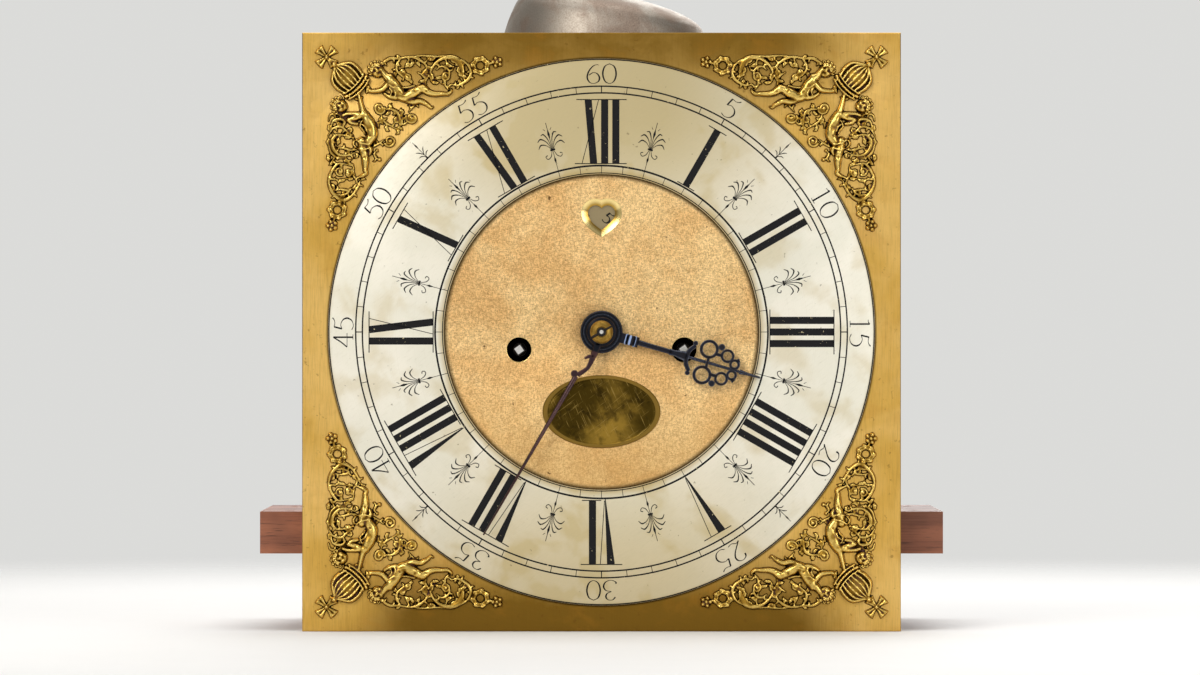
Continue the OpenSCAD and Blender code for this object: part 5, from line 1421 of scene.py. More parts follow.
    limbs: tuple = (
        ((1.6, 2, 2.6), (3.2, 3.7, 4.1), 405, 194, 425, 219, 446, 239),
        ((2.4, 3.4, 3.3, 2.8), (3.9, 4.4, 4.3, 3.9), 446, 229, 461, 260, 486, 295, 512, 326),
        ((1.7, 2.7, 2.9, 2.5), (3.4, 4.3, 4.4, 4), 484, 326, 522, 329, 558, 311, 593, 291),
        ((2.3, 2.5, 1.9, 1.6, 1.3), (3.9, 4.1, 3.6, 3.3, 3), 588, 295, 614, 286, 644, 304, 675, 312, 716, 311),
        ((1.1, 1.2, 0.9, 0.4), (3, 2.9, 2.5, 1.6), 714, 311, 740, 312, 758, 300, 763, 286),
        ((1.6, 1.9, 1.6, 1.4), (2.9, 3.3, 3.2, 2.9), 522, 341, 563, 352, 599, 348, 624, 358),
        ((1.4, 1.2, 0.9, 0.6), (2.9, 2.7, 2.3, 1.7), 622, 357, 640, 368, 656, 382, 667, 377),
        ((2, 1.8, 1.5, 1.2), (3.9, 3.6, 3.3, 3.1), 446, 250, 425, 275, 400, 293, 354, 299),
        ((1, 1.4, 1.6), (2.6, 3.2, 3.4), 420, 311, 446, 326, 476, 331),
        ((1.2, 1.3, 1.5, 2), (3.1, 3.3, 3.5, 3.8), 287, 314, 294, 342, 302, 376, 312, 411),
        ((2.2, 2.1, 1.9, 1.5), (4, 4, 3.8, 3.5), 316, 416, 287, 426, 260, 437, 237, 445),
        ((1.4, 1.3, 1.1), (3.4, 3.3, 3.2), 237, 445, 251, 459, 282, 465),
        ((2.6, 3.4, 3.3, 3, 2.6), (4, 4.4, 4.4, 4.3, 4), 320, 421, 337, 455, 351, 489, 355, 523, 337, 555),
        ((2.4, 2.6, 2.2), (4, 4.2, 3.8), 304, 552, 310, 586, 318, 620),
        ((2.2, 2.1, 1.7, 1.3), (3.8, 3.8, 3.4, 3.1), 317, 614, 321, 648, 321, 676, 320, 700),
        ((1.2, 1.3, 1.2, 0.6), (3.1, 3.1, 2.8, 1.8), 320, 698, 325, 715, 309, 728, 286, 736),
        ((1.5, 1.5, 0.9), (3.4, 3.2, 2.4), 333, 574, 348, 597, 344, 620),
        ((1, 1.3, 1.6), (3, 3.4, 3.8), 208, 421, 231, 414, 265, 414, 287, 416),)
    folds: tuple = (
        ((0.5, 0.6, 0.4), 4.7, 304, 467, 321, 481, 328, 502), ((0.5, 0.6, 0.4), 4.6, 292, 478, 310, 495, 321, 518),
        ((0.5, 0.5, 0.4), 4.5, 304, 450, 296, 472, 304, 495), ((0.7, 0.9, 0.6), 4.5, 276, 546, 304, 563, 344, 570),
        ((0.9, 0.9, 0.5), 3, 265, 552, 262, 569, 276, 586), ((0.4, 0.5, 0.4), 4.6, 285, 590, 310, 595, 337, 590),
        ((0.4, 0.6, 0.4), 4.7, 441, 265, 466, 280, 492, 280), ((0.6, 0.7, 0.4), 4.5, 446, 285, 456, 301, 451, 316),
        ((0.5, 0.6, 0.4), 4.6, 466, 290, 476, 311, 471, 326), ((0.5, 0.6, 0.3), 4.5, 492, 311, 517, 321, 542, 321),
        ((0.8, 0.9, 0.6), 2.6, 502, 280, 537, 280, 573, 270), ((0.4, 0.4, 0.3), 4.5, 588, 280, 596, 295, 593, 314),)
    modelling: tuple = (
        ((46.5, 27.2), 1.2, 0.35), ((49.6, 30.4), 0.5, 0.5), ((45.2, 24.4), 1.5, -0.25), ((51.5, 32.4), 1, 0.25),
        ((57.6, 29.6), 0.8, 0.35), ((63.2, 30), 0.9, 0.4), ((34.4, 48.6), 1.2, 0.35), ((34.6, 52.6), 0.5, 0.5),
        ((32.4, 44.6), 1.5, -0.25), ((31.4, 57.4), 0.8, 0.35), ((31.9, 63.4), 0.9, 0.4), ((27.4, 43.2), 0.7, 0.3),)
    border: float = 13.6

    def leaf(self, points: Sequence[Point], half: float, height: float, teeth: int = 3) -> None:
        """Adds a leaf: half width h sin(pi t^0.85)^0.5 (0.72 + 0.28 |cos(pi teeth t)|), with a groove for its rib."""
        t = np.linspace(0.02, 0.98, 25)
        width = half * np.sin(np.pi * t**0.85) ** 0.5 * (0.72 + 0.28 * np.abs(np.cos(np.pi * teeth * t)))
        rise = height * (0.62 + 0.38 * np.sin(np.pi * t)) * (0.9 + 0.1 * np.abs(np.cos(np.pi * teeth * t)))
        self.tube(smooth_path(points, 12), width, rise, 0.12, 0.4, 0.22)

    def volute(self, centre: Point, outer: float, start: float, sweep: float) -> None:
        """Adds a scroll that winds in to a round eye."""
        turns = arc_points(centre, outer, start, start + sweep, max(24, int(abs(sweep) / 9)), 0.9)
        self.tube(turns, [0.85, 0.6], [1.9, 2.4], 0.1, 0.45)
        self.dome(centre, 1.15, 2.7)

    def head(self, centre: Point, radius: float, up: float, height: float = 4.6) -> None:
        """Adds a child's head: a dome with bumps A exp(-d^2 / s^2) for brow, eyes, nose, cheeks, mouth and chin.

        Args:
            centre: Its middle.
            radius: Its radius.
            up: Direction of its crown in the drawing, in degrees.
            height: Its height above the plate.
        """
        cut, u, v = self.window(np.array([centre]), radius + 0.7)
        turn = radians(90 - up)
        du, dv = (u - centre[0]) / radius, (v - centre[1]) / radius
        x, y = du * cos(turn) - dv * sin(turn), du * sin(turn) + dv * cos(turn)
        r = np.hypot(x / 0.86, y)
        rise = 0.72 * np.clip(1 - r**2, 0, 1) ** 0.38
        for px, py, reach, size in (
                (0, -0.06, 0.15, 0.17), (0, -0.2, 0.12, 0.12), (0, 0.12, 0.13, 0.08), (0.3, 0.04, 0.15, -0.17),
                (0.4, -0.28, 0.22, 0.1), (0, -0.45, 0.16, -0.12), (0, -0.38, 0.08, 0.06), (0, -0.55, 0.1, 0.07),
                (0, -0.76, 0.18, 0.1), (0.3, 0.26, 0.2, 0.08)):
            across = np.exp(-((x - px) ** 2) / reach**2) + (px > 0) * np.exp(-((x + px) ** 2) / reach**2)
            rise += np.where(r < 0.97, size, 0) * across * np.exp(-((y - py) ** 2) / reach**2)
        away = (r - 1) * radius * 0.9
        self.join(cut, np.where(r < 1, height * rise, np.where(away < 0.5, -3 * away, FAR_DOWN)), 0.2)
        for k, share in enumerate((-84, -56, -28, 0, 28, 56, 84, -62, -31, 0, 31, 62)):
            reach = 0.92 if k < 7 else 0.6
            angle = radians(up + share)
            place = (centre[0] + radius * reach * cos(angle), centre[1] + radius * reach * sin(angle))
            curl = arc_points(place, radius * 0.21, up + 50 * k, up + 50 * k + 330, 24, 0.25)
            self.tube(curl, [0.42, 0.34], [height * (0.66 if k < 7 else 0.9)] * 2, 0.08)

    def hand(self, centre: Point, towards: float, height: float = 3) -> None:
        """Adds a small hand: a palm and four fingers that point one way."""
        self.dome(centre, 1.4, height, blend=0.5)
        for share in (-32, -11, 11, 32):
            a = radians(towards + share)
            tip = (centre[0] + 2.4 * cos(a), centre[1] + 2.4 * sin(a))
            self.tube([centre, tip], [0.5, 0.36], [height * 0.9, height * 0.62], 0.1)

    def rosette(self, centre: Point, bud: Point) -> None:
        """Adds the end of an arm: a wreath of seven leaves round an open middle, a stalk and a rosette of petals."""
        for k in range(7):
            a = 2 * pi * k / 7
            arc = [(centre[0] + 3.7 * (0.92 + 0.2 * s) * cos(a + s * 1.05),
                    centre[1] + 3.7 * (0.92 + 0.2 * s) * sin(a + s * 1.05)) for s in (0, 0.5, 1)]
            self.leaf(arc, 1.75, 2.8, 2)
        self.tube(arc_points(centre, 2.9, 0, 360, 25), [1.1], [1.9], 0.1)
        self.dome(bud, 3.3, 2, 5, 0.2)
        self.dome(bud, 1.2, 2.9)
        for k in range(5):
            a = 2 * pi * (k + 0.5) / 5
            self.dome((bud[0] + 2.1 * cos(a), bud[1] + 2.1 * sin(a)), 1.2, 2.6, blend=0.1)
        way = np.subtract(bud, centre) / np.linalg.norm(np.subtract(bud, centre))
        self.tube([centre + way * 3.4, bud - way * 2], [1, 0.8], [2.1, 1.9])

    def arms(self) -> None:
        """Adds both arms: vines with leaflets, leaves, scroll ends and buds, then both figures and the arms' ends."""
        for half, height, *row in self.vines:
            points = pairs(row, 0.1)
            wide = [half[0] * 0.8] + [h * 1.18 for h in half] + [half[-1] * 0.8]
            self.tube(points, wide, [height * 0.8, height, height * 0.84], 0.2, 0.42)
            p = smooth_path(points, 12)
            run = np.concatenate([[0], np.cumsum(np.linalg.norm(np.diff(p, axis=0), axis=1))])
            for k, s in enumerate(np.arange(1.4, run[-1] - 0.6, 2.9)):
                i = min(int(np.searchsorted(run, s)), len(p) - 2)
                side = 1 if k % 2 else -1
                ahead = atan2(*(p[i + 1] - p[i])[::-1])
                turns = (ahead + side * 0.75, ahead + side * 1.25, ahead + side * 2.1)
                bend = [tuple(p[i])]
                for angle, length in zip(turns, (1.1, 0.9, 0.7)):
                    bend.append((bend[-1][0] + length * cos(angle), bend[-1][1] + length * sin(angle)))
                if min(bend[-1]) < self.border:
                    continue
                self.tube(bend, [0.7, 0.78, 0.48], [height * 0.72, height * 0.86, height * 0.6], 0.12)
        for half, height, *row in self.leaves:
            self.leaf(pairs(row, 0.1), half * 1.25, height)
        for centre, outer, start, sweep in self.scroll_ends:
            self.volute(centre, outer, start, sweep)
        for centre, radius, height in self.buds:
            self.dome(centre, radius, height)
        for half, heights, *row in self.limbs:
            self.tube(pairs(row, 0.1), half, heights, 0.9, 0.42)
        for half, height, *row in self.folds:
            self.tube(pairs(row, 0.1), half, [height * 0.92, height * 1.02, height * 0.92], 0.14)
        for centre, radius, depth in self.modelling:
            self.dent(centre, radius, depth)
        self.head((37.9, 18.9), 4.5, 232, 4.6)
        self.head((18.9, 37.2), 4.5, 196, 4.6)
        self.hand((34.6, 29.6), 190)
        self.hand((28.6, 30.6), 250)
        self.rosette((90.7, 16.8), (99.1, 15))
        self.rosette((17.9, 90.3), (15.2, 98.2))

    def crown(self) -> None:
        """Adds the crown: a low dome with seven bulging ribs that meet at its orb, a banded circlet, and a cross."""
        axis, across = np.array([1, 1]) / sqrt(2), np.array([1, -1]) / sqrt(2)
        apex, base = 23.2, 39.4

        def at(along_axis: float, side: float) -> Point:
            """A point that far along the diagonal and to its side."""
            p = axis * along_axis + across * side
            return (float(p[0]), float(p[1]))
        self.dome(at(32, 0), 7.4, 3.9)
        for k in range(7):
            share = (k - 3) / 3
            rib = [at(apex + 1, share * 1.2), at(apex + 5.2, share * 6.4), at(base - 6, share * 7.2),
                   at(base - 1.8, share * 6.2)]
            self.tube(rib, [0.6, 1.05, 1.15, 0.9], [3.2, 4.3 - abs(share) * 0.9, 4.3 - abs(share), 3.6], 0.08, 0.5)
            p = smooth_path(rib, 20)
            for bead in (0.3, 0.45, 0.6, 0.75):
                spot = p[int(bead * (len(p) - 1))]
                self.dome((float(spot[0]), float(spot[1])), 0.62, 4.75 - abs(share) * 0.9, blend=0.06)
        for offset, half, height in ((-1.9, 0.55, 4.3), (0, 1.2, 3.7), (1.9, 0.6, 4.3)):
            bow = [at(base + offset - 0.5, -7.4), at(base + offset + 0.5, -3.8), at(base + offset + 0.8, 0),
                   at(base + offset + 0.5, 3.8), at(base + offset - 0.5, 7.4)]
            self.tube(bow, [half], [height - 0.4, height, height - 0.4], 0.06)
        for side in np.linspace(-6, 6, 7):
            self.dome(at(base + 0.6, float(side)), 0.75, 4.5, blend=0.06)
        for side in (-1, 1):
            self.leaf([at(base + 2.4, side * 5), at(base + 4.4, side * 3.6), at(base + 5.6, side * 1.2)], 1.3, 2.8, 3)
        self.dome(at(apex - 0.2, 0), 1.7, 4.4)
        self.tube([at(apex - 1.2, 0), at(19.8, 0)], [0.95, 0.8], [3, 2.6])
        middle = at(17.6, 0)
        cut, u, v = self.window(np.array([middle]), 7.5)
        u, v = u - middle[0], v - middle[1]
        up, side = (u + v) / sqrt(2), (u - v) / sqrt(2)
        for x, y in ((up, side), (-up, side), (side, up), (-side, up)):
            half = 0.9 + 2.2 * np.clip(x / 6.2, 0, 1) ** 1.2
            edge = np.minimum(np.minimum(half - np.abs(y), 6.2 - x - 0.05 * y**2), x + 0.3)
            value = np.where(edge > 0, 2.6 * np.clip(edge / 0.55, 0, 1) ** 0.5 - 0.5 * np.exp(-((y / 0.5) ** 2)),
                             np.where(edge > -0.5, 3 * edge, FAR_DOWN))
            self.join(cut, value, 0.08)
        self.dome(middle, 1.35, 3.4)

    def cast(self) -> tuple[Surface, Array]:
        """Draws the whole pattern.

        Returns:
            Its surface and how far each of its points stands proud.
        """
        self.arms()
        self.crown()
        return self.surface()


@dataclass
class Casting:
    """One corner casting: the pattern's surface, mirrored into its own corner."""
    corner: Corner
    surface: Surface
    proud: Array

    def build(self, material: Material) -> list[Thing]:
        """Makes the casting.

        Args:
            material: The cast brass.

        Returns:
            The casting's one piece.
        """
        sx, sz = self.corner.value
        shape = self.surface.moved(np.diag([-sx, 1, -sz]), (sx * DIAL_SIDE / 2, 0, CENTRE_Z + sz * DIAL_SIDE / 2))
        piece = shape.piece(self.corner.node.replace("spandrel", "casting"), material, 180)
        if len(piece.data.vertices) != len(self.proud):
            raise ValueError("the casting's points were merged")
        # The stored attribute says how proud each point stands; the cast brass reads it for rubbed-bright ridges and
        # painted shade in the hollows.
        wear_and_painted_light = piece.data.attributes.new("proud", "FLOAT", "POINT")
        wear_and_painted_light.data.foreach_set("value", np.ascontiguousarray(self.proud, dtype=np.float32))
        front = sum(p.normal.y * p.area for p in piece.data.polygons)
        if front > 0:
            piece.data.flip_normals()
        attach(piece, "frame")
        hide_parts(self.corner.node)
        return [piece]


# The hands

HAND_SECTION = np.array([[1, 0], [1, 0.62], [0.72, 0.94], [0.45, 1], [-0.45, 1], [-0.72, 0.94], [-1, 0.62],
                         [-1, 0]])
RIDGE_SECTION = np.array([[1, 0], [1, 0.5], [0.3, 0.94], [0, 1], [-0.3, 0.94], [-1, 0.5], [-1, 0]])


@dataclass
class Hand:
    """A pierced steel hand, drawn with x along it and y to its left as seen from the front."""
    name: str
    body: str
    slot: str
    finish: HeatedSteel
    back: float
    direction: float
    bore: float
    boss: float
    thickness: float = 1.6
    parts: list[Surface] = field(default_factory=list)

    def place(self, local: Points) -> Array:
        """Moves local points to the hand's direction on the dial: x (cos a, sin a) + y (-sin a, cos a)."""
        a = radians(self.direction)
        turn = np.array([[cos(a), sin(a)], [-sin(a), cos(a)]])
        return np.asarray(local, float) @ turn

    def bar(self, points: Points, half: Numbers, section: Array = HAND_SECTION,
            samples: int = 10, share: float = 1) -> None:
        """Adds a bar of the hand along a smooth line."""
        p = smooth_path(points, samples)
        self.parts.append(swept(on_dial(self.place(p), self.back), along(half, len(p)), self.thickness * share,
                                section, FRONT))

    def loop(self, centre: Point, radius: float, width: float) -> None:
        """Adds a ring of the hand, whose radius is that of its middle line."""
        x, z = self.place([centre])[0]
        inner, outer, front = radius - width / 2, radius + width / 2, self.back - self.thickness
        line = [(inner, self.back), (inner, front + 0.5), (inner + 0.2, front + 0.1), (inner + 0.45, front),
            (outer - 0.45, front), (outer - 0.2, front + 0.1), (outer, front + 0.5), (outer, self.back)]
        self.parts.append(turned((x, z), line, 36, True))

    def button(self, centre: Point, radius: float) -> None:
        """Adds a round button of the hand."""
        x, z = self.place([centre])[0]
        front = self.back - self.thickness
        line = [(0, self.back), (radius, self.back), (radius, front + 0.5), (radius - 0.25, front + 0.1),
            (radius * 0.5, front), (0, front)]
        self.parts.append(turned((x, z), line, 28))

    def hub(self, steps: Sequence[tuple[float, float]]) -> None:
        """Adds the boss: a turned ring with the given (radius, height share) steps on its face, around the bore."""
        line = [(self.bore, self.back), (self.bore, self.back - self.thickness * steps[0][1])]
        line += [(r, self.back - self.thickness * h) for r, h in steps] + [(self.boss, self.back)]
        self.parts.append(turned((0, 0), line, 96, True))

    def finished(self, node: str) -> Thing:
        """Makes the hand one piece that stands for its CAD node."""
        piece = Surface.join(self.parts).piece(self.name, self.finish.material(), 32)
        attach(piece, self.body)
        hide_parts(node)
        return piece


@dataclass
class HourHand(Hand):
    """The short hand: a stepped block, then a pierced cluster of rings and buds round a spine."""

    def build(self) -> list[Thing]:
        """Makes the hand.

        Returns:
            Its one piece.
        """
        self.hub([(self.bore + 0.1, 1), (8.6, 1), (8.9, 0.86), (9.3, 0.84), (9.7, 0.98), (10.3, 0.96), (10.8, 0.6)])
        block = np.array([[1, 0], [1, 0.7], [0.9, 1], [-0.9, 1], [-1, 0.7], [-1, 0]])
        self.bar([(9.4, 0), (19.6, 0)], [2.7, 2.7], block)
        for x in (13.4, 17.4):
            self.bar([(x - 0.45, 0), (x + 0.45, 0)], [2.95, 2.95], block, 2, 1)
        self.bar([(19, 0), (24, 0), (37, 0)], [1.5, 1.4, 1.3])
        self.bar([(36, 0), (38.6, 0), (42, 0), (45, 0)], [1.7, 1.5, 2.1, 2.6])
        self.bar([(44, 0), (73, 0)], [0.9, 0.7], RIDGE_SECTION)
        self.bar([(73, 0), (77, 0), (84, 0)], [1.3, 0.8, 0.5], RIDGE_SECTION)
        for side in (-1, 1):
            self.bar([(45, 0), (45.6, 3.4 * side), (48, 6.8 * side)], [1.3, 1.2, 1.1])
            self.button((47.6, 7.8 * side), 1.3)
            self.loop((55.1, 6.8 * side), 4.1, 1.6)
            self.button((61, 9.6 * side), 1.7)
            self.loop((65, 6 * side), 2.9, 1.4)
            self.loop((69.6, 2.8 * side), 2.1, 1.4)
            self.bar([(59, 5.4 * side), (62.6, 5.4 * side)], [0.9, 0.9])
            self.bar([(70, 4.6 * side), (71.6, 5.6 * side)], [0.9, 1.2])
            self.bar([(56, 0), (56, 3.2 * side)], [0.7, 0.8])
        return [self.finished("hour_hand")]


@dataclass
class MinuteHand(Hand):
    """The long hand: a short curled shoulder at its root and a plain taper with a ridge."""

    def build(self) -> list[Thing]:
        """Makes the hand.

        Returns:
            Its one piece.
        """
        self.hub([(self.bore + 0.1, 1), (7, 1), (7.3, 0.9), (7.6, 0.6)])
        self.bar([(6, 1.4), (13, 2.6), (19.4, 3), (25, 0.4)], [2.2, 1.5, 1, 1.3])
        self.bar([(12.6, 2.6), (14.2, 0.6), (16, -0.6)], [1, 0.9, 0.6])
        self.button((25.2, -1.2), 1.9)
        self.bar([(26, 0), (60, 0), (119.3, 0)], [1.3, 0.94, 0.4], RIDGE_SECTION, 20)
        return [self.finished("minute_hand")]


@dataclass
class Collet:
    """The domed brass collet over the minute hand and its taper pin."""
    front: float = -109.4
    radius: float = 5.85
    height: float = 4.6
    bore: float = 2.26
    pin_y: float = -115
    pin_angle: float = 30
    pin_length: float = 13

    def build(self) -> list[Thing]:
        """Makes the collet and its pin.

        Returns:
            The two pieces.
        """
        f, r, h = self.front, self.radius, self.height
        dome = [(r * cos(a) * 0.98 + 0.02, f - 1.5 - (h - 1.5) * sin(a)) for a in np.linspace(0, 1.12, 12)]
        dome = [p for p in dome if p[0] > self.bore + 0.6]
        line = [(self.bore, f), (r - 0.3, f), (r, f - 0.3), (r, f - 0.9), (r - 0.35, f - 1.1), (r - 0.1, f - 1.4)]
        line += dome + [(self.bore + 0.5, f - h), (self.bore + 0.1, f - h + 0.05), (self.bore, f - h + 0.3)]
        brass = METALS["collet_brass"].material("", (0, 0, CENTRE_Z))
        collet = turned((0, 0), line, 96, True).piece("minute_collet", brass, 35)
        a = radians(self.pin_angle)
        t = np.linspace(-0.5, 0.5, 24)
        path = on_dial(np.outer(t, (cos(a), sin(a))) * self.pin_length, self.pin_y)
        half = 0.75 - 0.22 * (t + 0.5)
        half *= np.clip(np.sqrt(np.clip(1 - (np.abs(t) * 2) ** 14, 0, 1)), 0.15, 1)
        ring = np.linspace(0, 2 * pi, 20, endpoint=False)
        pin = swept(path, half, half, np.stack([np.cos(ring), np.sin(ring)], -1), FRONT).piece(
            "collet_pin", METALS["pin_steel"].material(), 40)
        for piece, node, slot in ((collet, "hand_collet", "polished_brass"), (pin, "hand_pin", "steel")):
            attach(piece, "centre_train")
            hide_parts(node)
        return [collet, pin]


# The studio

@dataclass
class Studio:
    """Pale floor and background, three large soft lights and the camera straight in front of the dial."""
    floor_z: float = -38.95
    floor_radius: float = 3000
    camera_at: tuple[float, float, float] = (-0.00077, -3.9, 0.1107)
    lens: float = 223.9
    pale: float = 0.86
    aim: tuple[float, float, float] = (0, -0.05, 0.11)
    # Each lamp: name, place and size in metres, power, and how far its colour goes from white to yellow
    lamps: tuple = (
        ("key_light", (-1.5, -2.4, 1.7), (1.6, 1.6), 42, 0.25), ("fill_light", (1.9, -2.2, 0.7), (1.4, 1.8), 20, 0),
        ("top_light", (0, 0.2, 2.2), (2.2, 1.6), 26, 0), ("rear_light", (0.6, 2.4, 1.2), (1.8, 1.4), 26, 0))

    def floor(self) -> Thing:
        """Makes the floor, a wide disc that fades out before the horizon so that it runs into the background."""
        disc = turned((0, 0), [(0, 0), (0.5, 0), (1, 0)], 64)
        across, ahead = disc.points[:, 0], disc.points[:, 2] - CENTRE_Z
        points = np.stack([across * self.floor_radius, ahead * self.floor_radius,
            np.full(len(across), self.floor_z)], -1)
        graph = Graph("studio_floor")
        x, y, _ = graph.axes()
        radius = (x * x + y * y) ** 0.5
        grain = graph.noise(30, 3, 0.5)
        colour = graph.blend(grain.ramp(0.3, 0.7) * 0.06, (0.93, 0.925, 0.915), (0.88, 0.875, 0.86))
        floor = Surface(points, disc.faces).piece("studio_floor", graph.finish(
            base_color=colour, roughness=0.75, alpha=radius.ramp(1250, 500)), 30)
        return floor

    def world(self) -> None:
        """Sets the background: pale to the camera, and for metal a room pale front and back, greyer at its sides."""
        graph = Graph("studio_world", True)
        bpy.context.scene.world = graph.owner
        ray = graph.node("ShaderNodeLightPath").outputs
        way = graph.node("ShaderNodeSeparateXYZ", None, {0: graph.node("ShaderNodeTexCoord").outputs["Generated"]})
        ahead = Value(graph, way.outputs[1])
        tones = (((0.8,) * 3, 0.7), ((0.93, 0.93, 0.92), ahead * ahead * 0.84 + 0.14),
            ((self.pale, self.pale, self.pale * 0.99), 1))
        soft, room, seen = (graph.node("ShaderNodeBackground", None, {0: linear(tone), 1: strength}).outputs[0]
            for tone, strength in tones)
        shiny = Value(graph, ray["Is Glossy Ray"]).most(ray["Is Transmission Ray"])
        lit = graph.node("ShaderNodeMixShader", None, {0: shiny, 1: soft, 2: room}).outputs[0]
        all_rays = graph.node("ShaderNodeMixShader", None, {0: ray["Is Camera Ray"], 1: lit, 2: seen})
        graph.feed(graph.output, all_rays.outputs[0])

    def lights(self) -> None:
        """Adds the rectangular soft lights, which look at the dial."""
        for name, place, size, watts, warm in self.lamps:
            data = bpy.data.lights.new(name, "AREA")
            data.shape, data.size, data.size_y, data.energy = "RECTANGLE", *size, watts
            data.color = (1, 1 - 0.1 * warm, 1 - 0.25 * warm)
            lamp = bpy.data.objects.new(name, data)
            lamp.location = place
            lamp.rotation_euler = (Vector(self.aim) - Vector(place)).to_track_quat("-Z", "Y").to_euler()
            bpy.context.scene.collection.objects.link(lamp)

    def camera(self) -> None:
        """Adds the camera, level and straight on, as in the photograph."""
        data = bpy.data.cameras.new("camera")
        data.lens, data.sensor_width, data.clip_end = self.lens, 36, 50
        camera = bpy.data.objects.new("camera", data)
        camera.location = self.camera_at
        camera.rotation_euler = (pi / 2, 0, 0)
        bpy.context.scene.collection.objects.link(camera)
        bpy.context.scene.camera = camera

    def build(self) -> None:
        """Builds the whole studio."""
        self.camera()
        self.floor()
        self.world()
        self.lights()
        bpy.context.scene.view_settings.view_transform = "Standard"


# The bell

@dataclass
class Bell:
    """The bell: a smooth spun bowl with its mouth down, tilted on its stand."""
    crown: tuple[float, float, float] = (7.4, -24, CENTRE_Z + 174.9)
    radius: float = 60
    depth: float = 50
    wall: float = 2.6
    bore: float = 3.1
    lean: float = 11
    profile: tuple = (
        (0.052, 0), (0.15, 0.004), (0.36, 0.02), (0.58, 0.064), (0.71, 0.116), (0.772, 0.16), (0.806, 0.21),
        (0.835, 0.282), (0.868, 0.452), (0.884, 0.6), (0.905, 0.74), (0.94, 0.87), (1, 1))

    def build(self) -> list[Thing]:
        """Spins the profile about the bell's axis, with the wall measured square to it, and tilts it.

        Returns:
            The bell's one piece.
        """
        outer = smooth_path(np.array(self.profile) * (self.radius, self.depth), 6)
        run = np.gradient(outer, axis=0)
        run /= np.linalg.norm(run, axis=1, keepdims=True)
        inner = outer + self.wall * np.stack([-run[:, 1], run[:, 0]], -1)
        inner[0], inner[-1] = (outer[0][0], self.wall), (self.radius - self.wall, self.depth)
        inner[:, 1] = np.minimum(inner[:, 1], self.depth)
        inner[:, 0] = np.maximum(inner[:, 0], outer[0][0])
        lip = np.array([(self.radius - 0.1, self.depth - 0)])
        line = np.vstack([outer[:-1], outer[-1:] - (0, 0.5), lip, inner[::-1]])
        a = radians(self.lean)
        upright = np.array([[1, 0, 0], [0, 0, 1], [0, -1, 0]])
        tilt = np.array([[cos(a), 0, sin(a)], [0, 1, 0], [-sin(a), 0, cos(a)]])
        bowl = turned((0, 0), [tuple(p) for p in line], 160, True).moved(upright, (0, -CENTRE_Z, 0))
        bell = bowl.moved(tilt, self.crown).piece("spun_bell", METALS["bell_metal"].material(), 50)
        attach(bell, "frame")
        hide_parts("bell")
        return [bell]


# The movement

# The calendar ring's silvering, darker and greyer as painted shade where it lies behind the dial.
SHADED_CALENDAR_SILVER = Silvering("calendar_silver", (0.73, 0.68, 0.57), (0.64, 0.58, 0.45), (0.66, 0.63, 0.54),
                        (0.50, 0.43, 0.27))


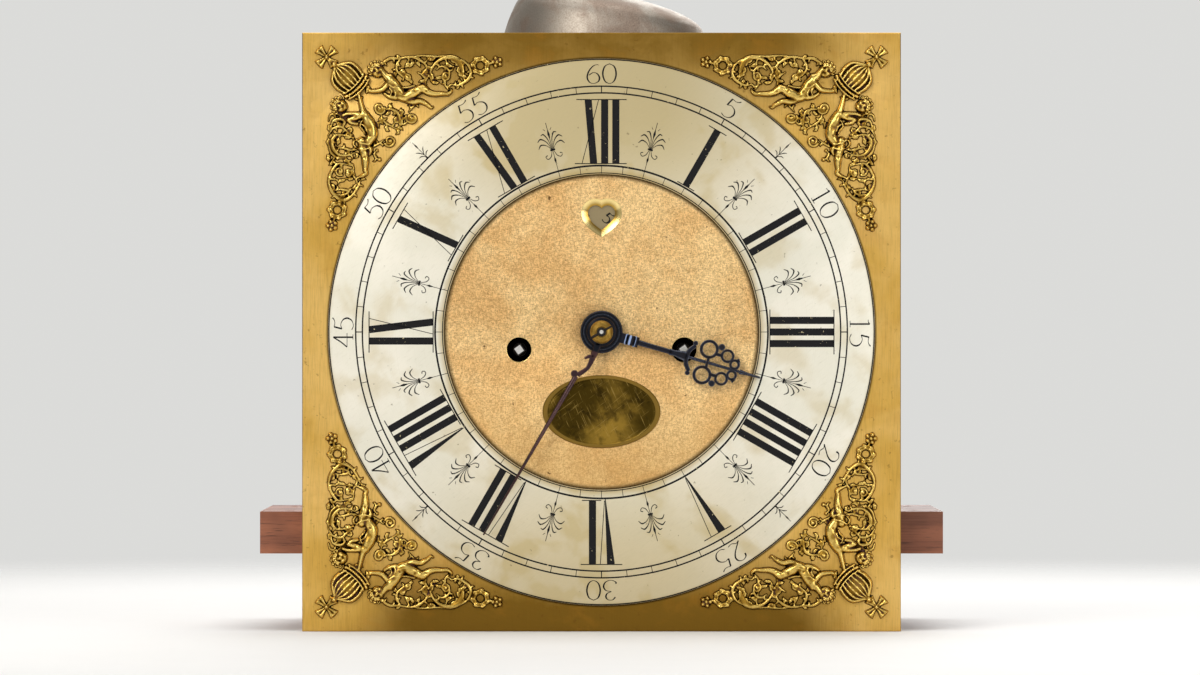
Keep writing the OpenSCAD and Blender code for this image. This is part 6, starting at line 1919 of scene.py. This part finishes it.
@dataclass(frozen=True)
class Dressing:
    """Gives each CAD node that stays its procedural finish, by the record's slot and the node's own axis."""
    turned_slots: tuple[str, ...] = ("wheel_brass", "polished_brass", "steel")
    # Arbors that come through the dial: depth of the painted highlight on the end, its radius, and the arbor's place on
    # the dial
    tips: dict[str, tuple] = field(default_factory=lambda: {
        "centre_arbor": (-117.1, 0.9, 0, 0), "going_arbor": (-97.62, 9, WINDING_X, WINDING_Z),
        "strike_arbor": (-97.62, 9, -WINDING_X, WINDING_Z)})
    alone: dict[str, Any] = field(default_factory=lambda: {
        "front_plate": OiledPlate(), "calendar_ring": SHADED_CALENDAR_SILVER, "seatboard": OldWood()})

    def finish(self, name: str, slot: str) -> Material:
        """Builds a node's finish.

        Args:
            name: The node.
            slot: Its slot in the record.

        Returns:
            The material.
        """
        if name in self.tips:
            depth, radius, x, z = self.tips[name]
            return TippedSteel(name + "_steel", depth, radius).material((x, 0, CENTRE_Z + z))
        if slot in self.turned_slots:
            low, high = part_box(name)
            metal = METALS["arbor_steel" if slot == "steel" else slot]
            return metal.material(name, tuple((low[i] + high[i]) / 2 / MM for i in range(3)))
        return self.alone.get(name, METALS.get(slot)).material()

    def dress(self, done: set[str]) -> int:
        """Assigns the materials; nodes of a slot whose lines don't follow an axis share one.

        Args:
            done: Nodes that another piece stands for.

        Returns:
            The number of nodes dressed.
        """
        slots = {part["node"]: part["material_slot"] for part in frame["record"]["subparts"]}
        made: dict[str, Material] = {}
        left = [name for name in frame["nodes"] if name not in done]
        for name in left:
            slot = slots[name]
            own = slot in self.turned_slots or name in self.tips or name in self.alone
            key = name if own else slot
            if key not in made:
                made[key] = self.finish(name, slot)
            for holder in frame["nodes"][name].material_slots:
                holder.link = "OBJECT"
                holder.material = made[key]
        return len(left)


def main() -> None:
    """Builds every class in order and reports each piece."""
    logging.basicConfig(level=logging.INFO, format="%(message)s")
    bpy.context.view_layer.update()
    # Each hand's third colour is its painted highlight on the rims.
    blue = HeatedSteel("blued_steel", (0.1, 0.115, 0.165), (0.14, 0.125, 0.135), (0.62, 0.66, 0.76),
        direction=90 - 106.1, bands=(13, 15, 17.6))
    purple = HeatedSteel("purple_steel", (0.27, 0.18, 0.18), (0.2, 0.145, 0.17), (0.56, 0.44, 0.42), face=-109.4)
    builders = (
        DialPlate(), ChapterRing(), DateRing(), Plaque(),
        HourHand("hour_hand_pierced", "hour_train", "blued_steel", blue, -104.2, 90 - 106.1, 5.56, 10.8),
        MinuteHand("minute_hand_tapered", "centre_train", "purple_steel", purple, -107.8, 90 - 210.2, 3.26, 7.6),
        Collet(), Bell())
    for builder in builders:
        made = builder.build()
        log.info("%s: %s", type(builder).__name__, ", ".join(p.name for p in made))
    brass = CastBrass().material()
    surface, proud = CastingPattern().cast()
    for corner in Corner:
        made = Casting(corner, surface, proud).build(brass)
        log.info("Casting: %s", made[0].name)
    done = {"dial_plate", "chapter_ring", "name_plaque", "hour_hand", "minute_hand", "hand_collet", "hand_pin", "bell"}
    done |= {corner.node for corner in Corner}
    log.info("Dressing: %d nodes", Dressing().dress(done))
    Studio().build()


if __name__ == "__main__":
    main()
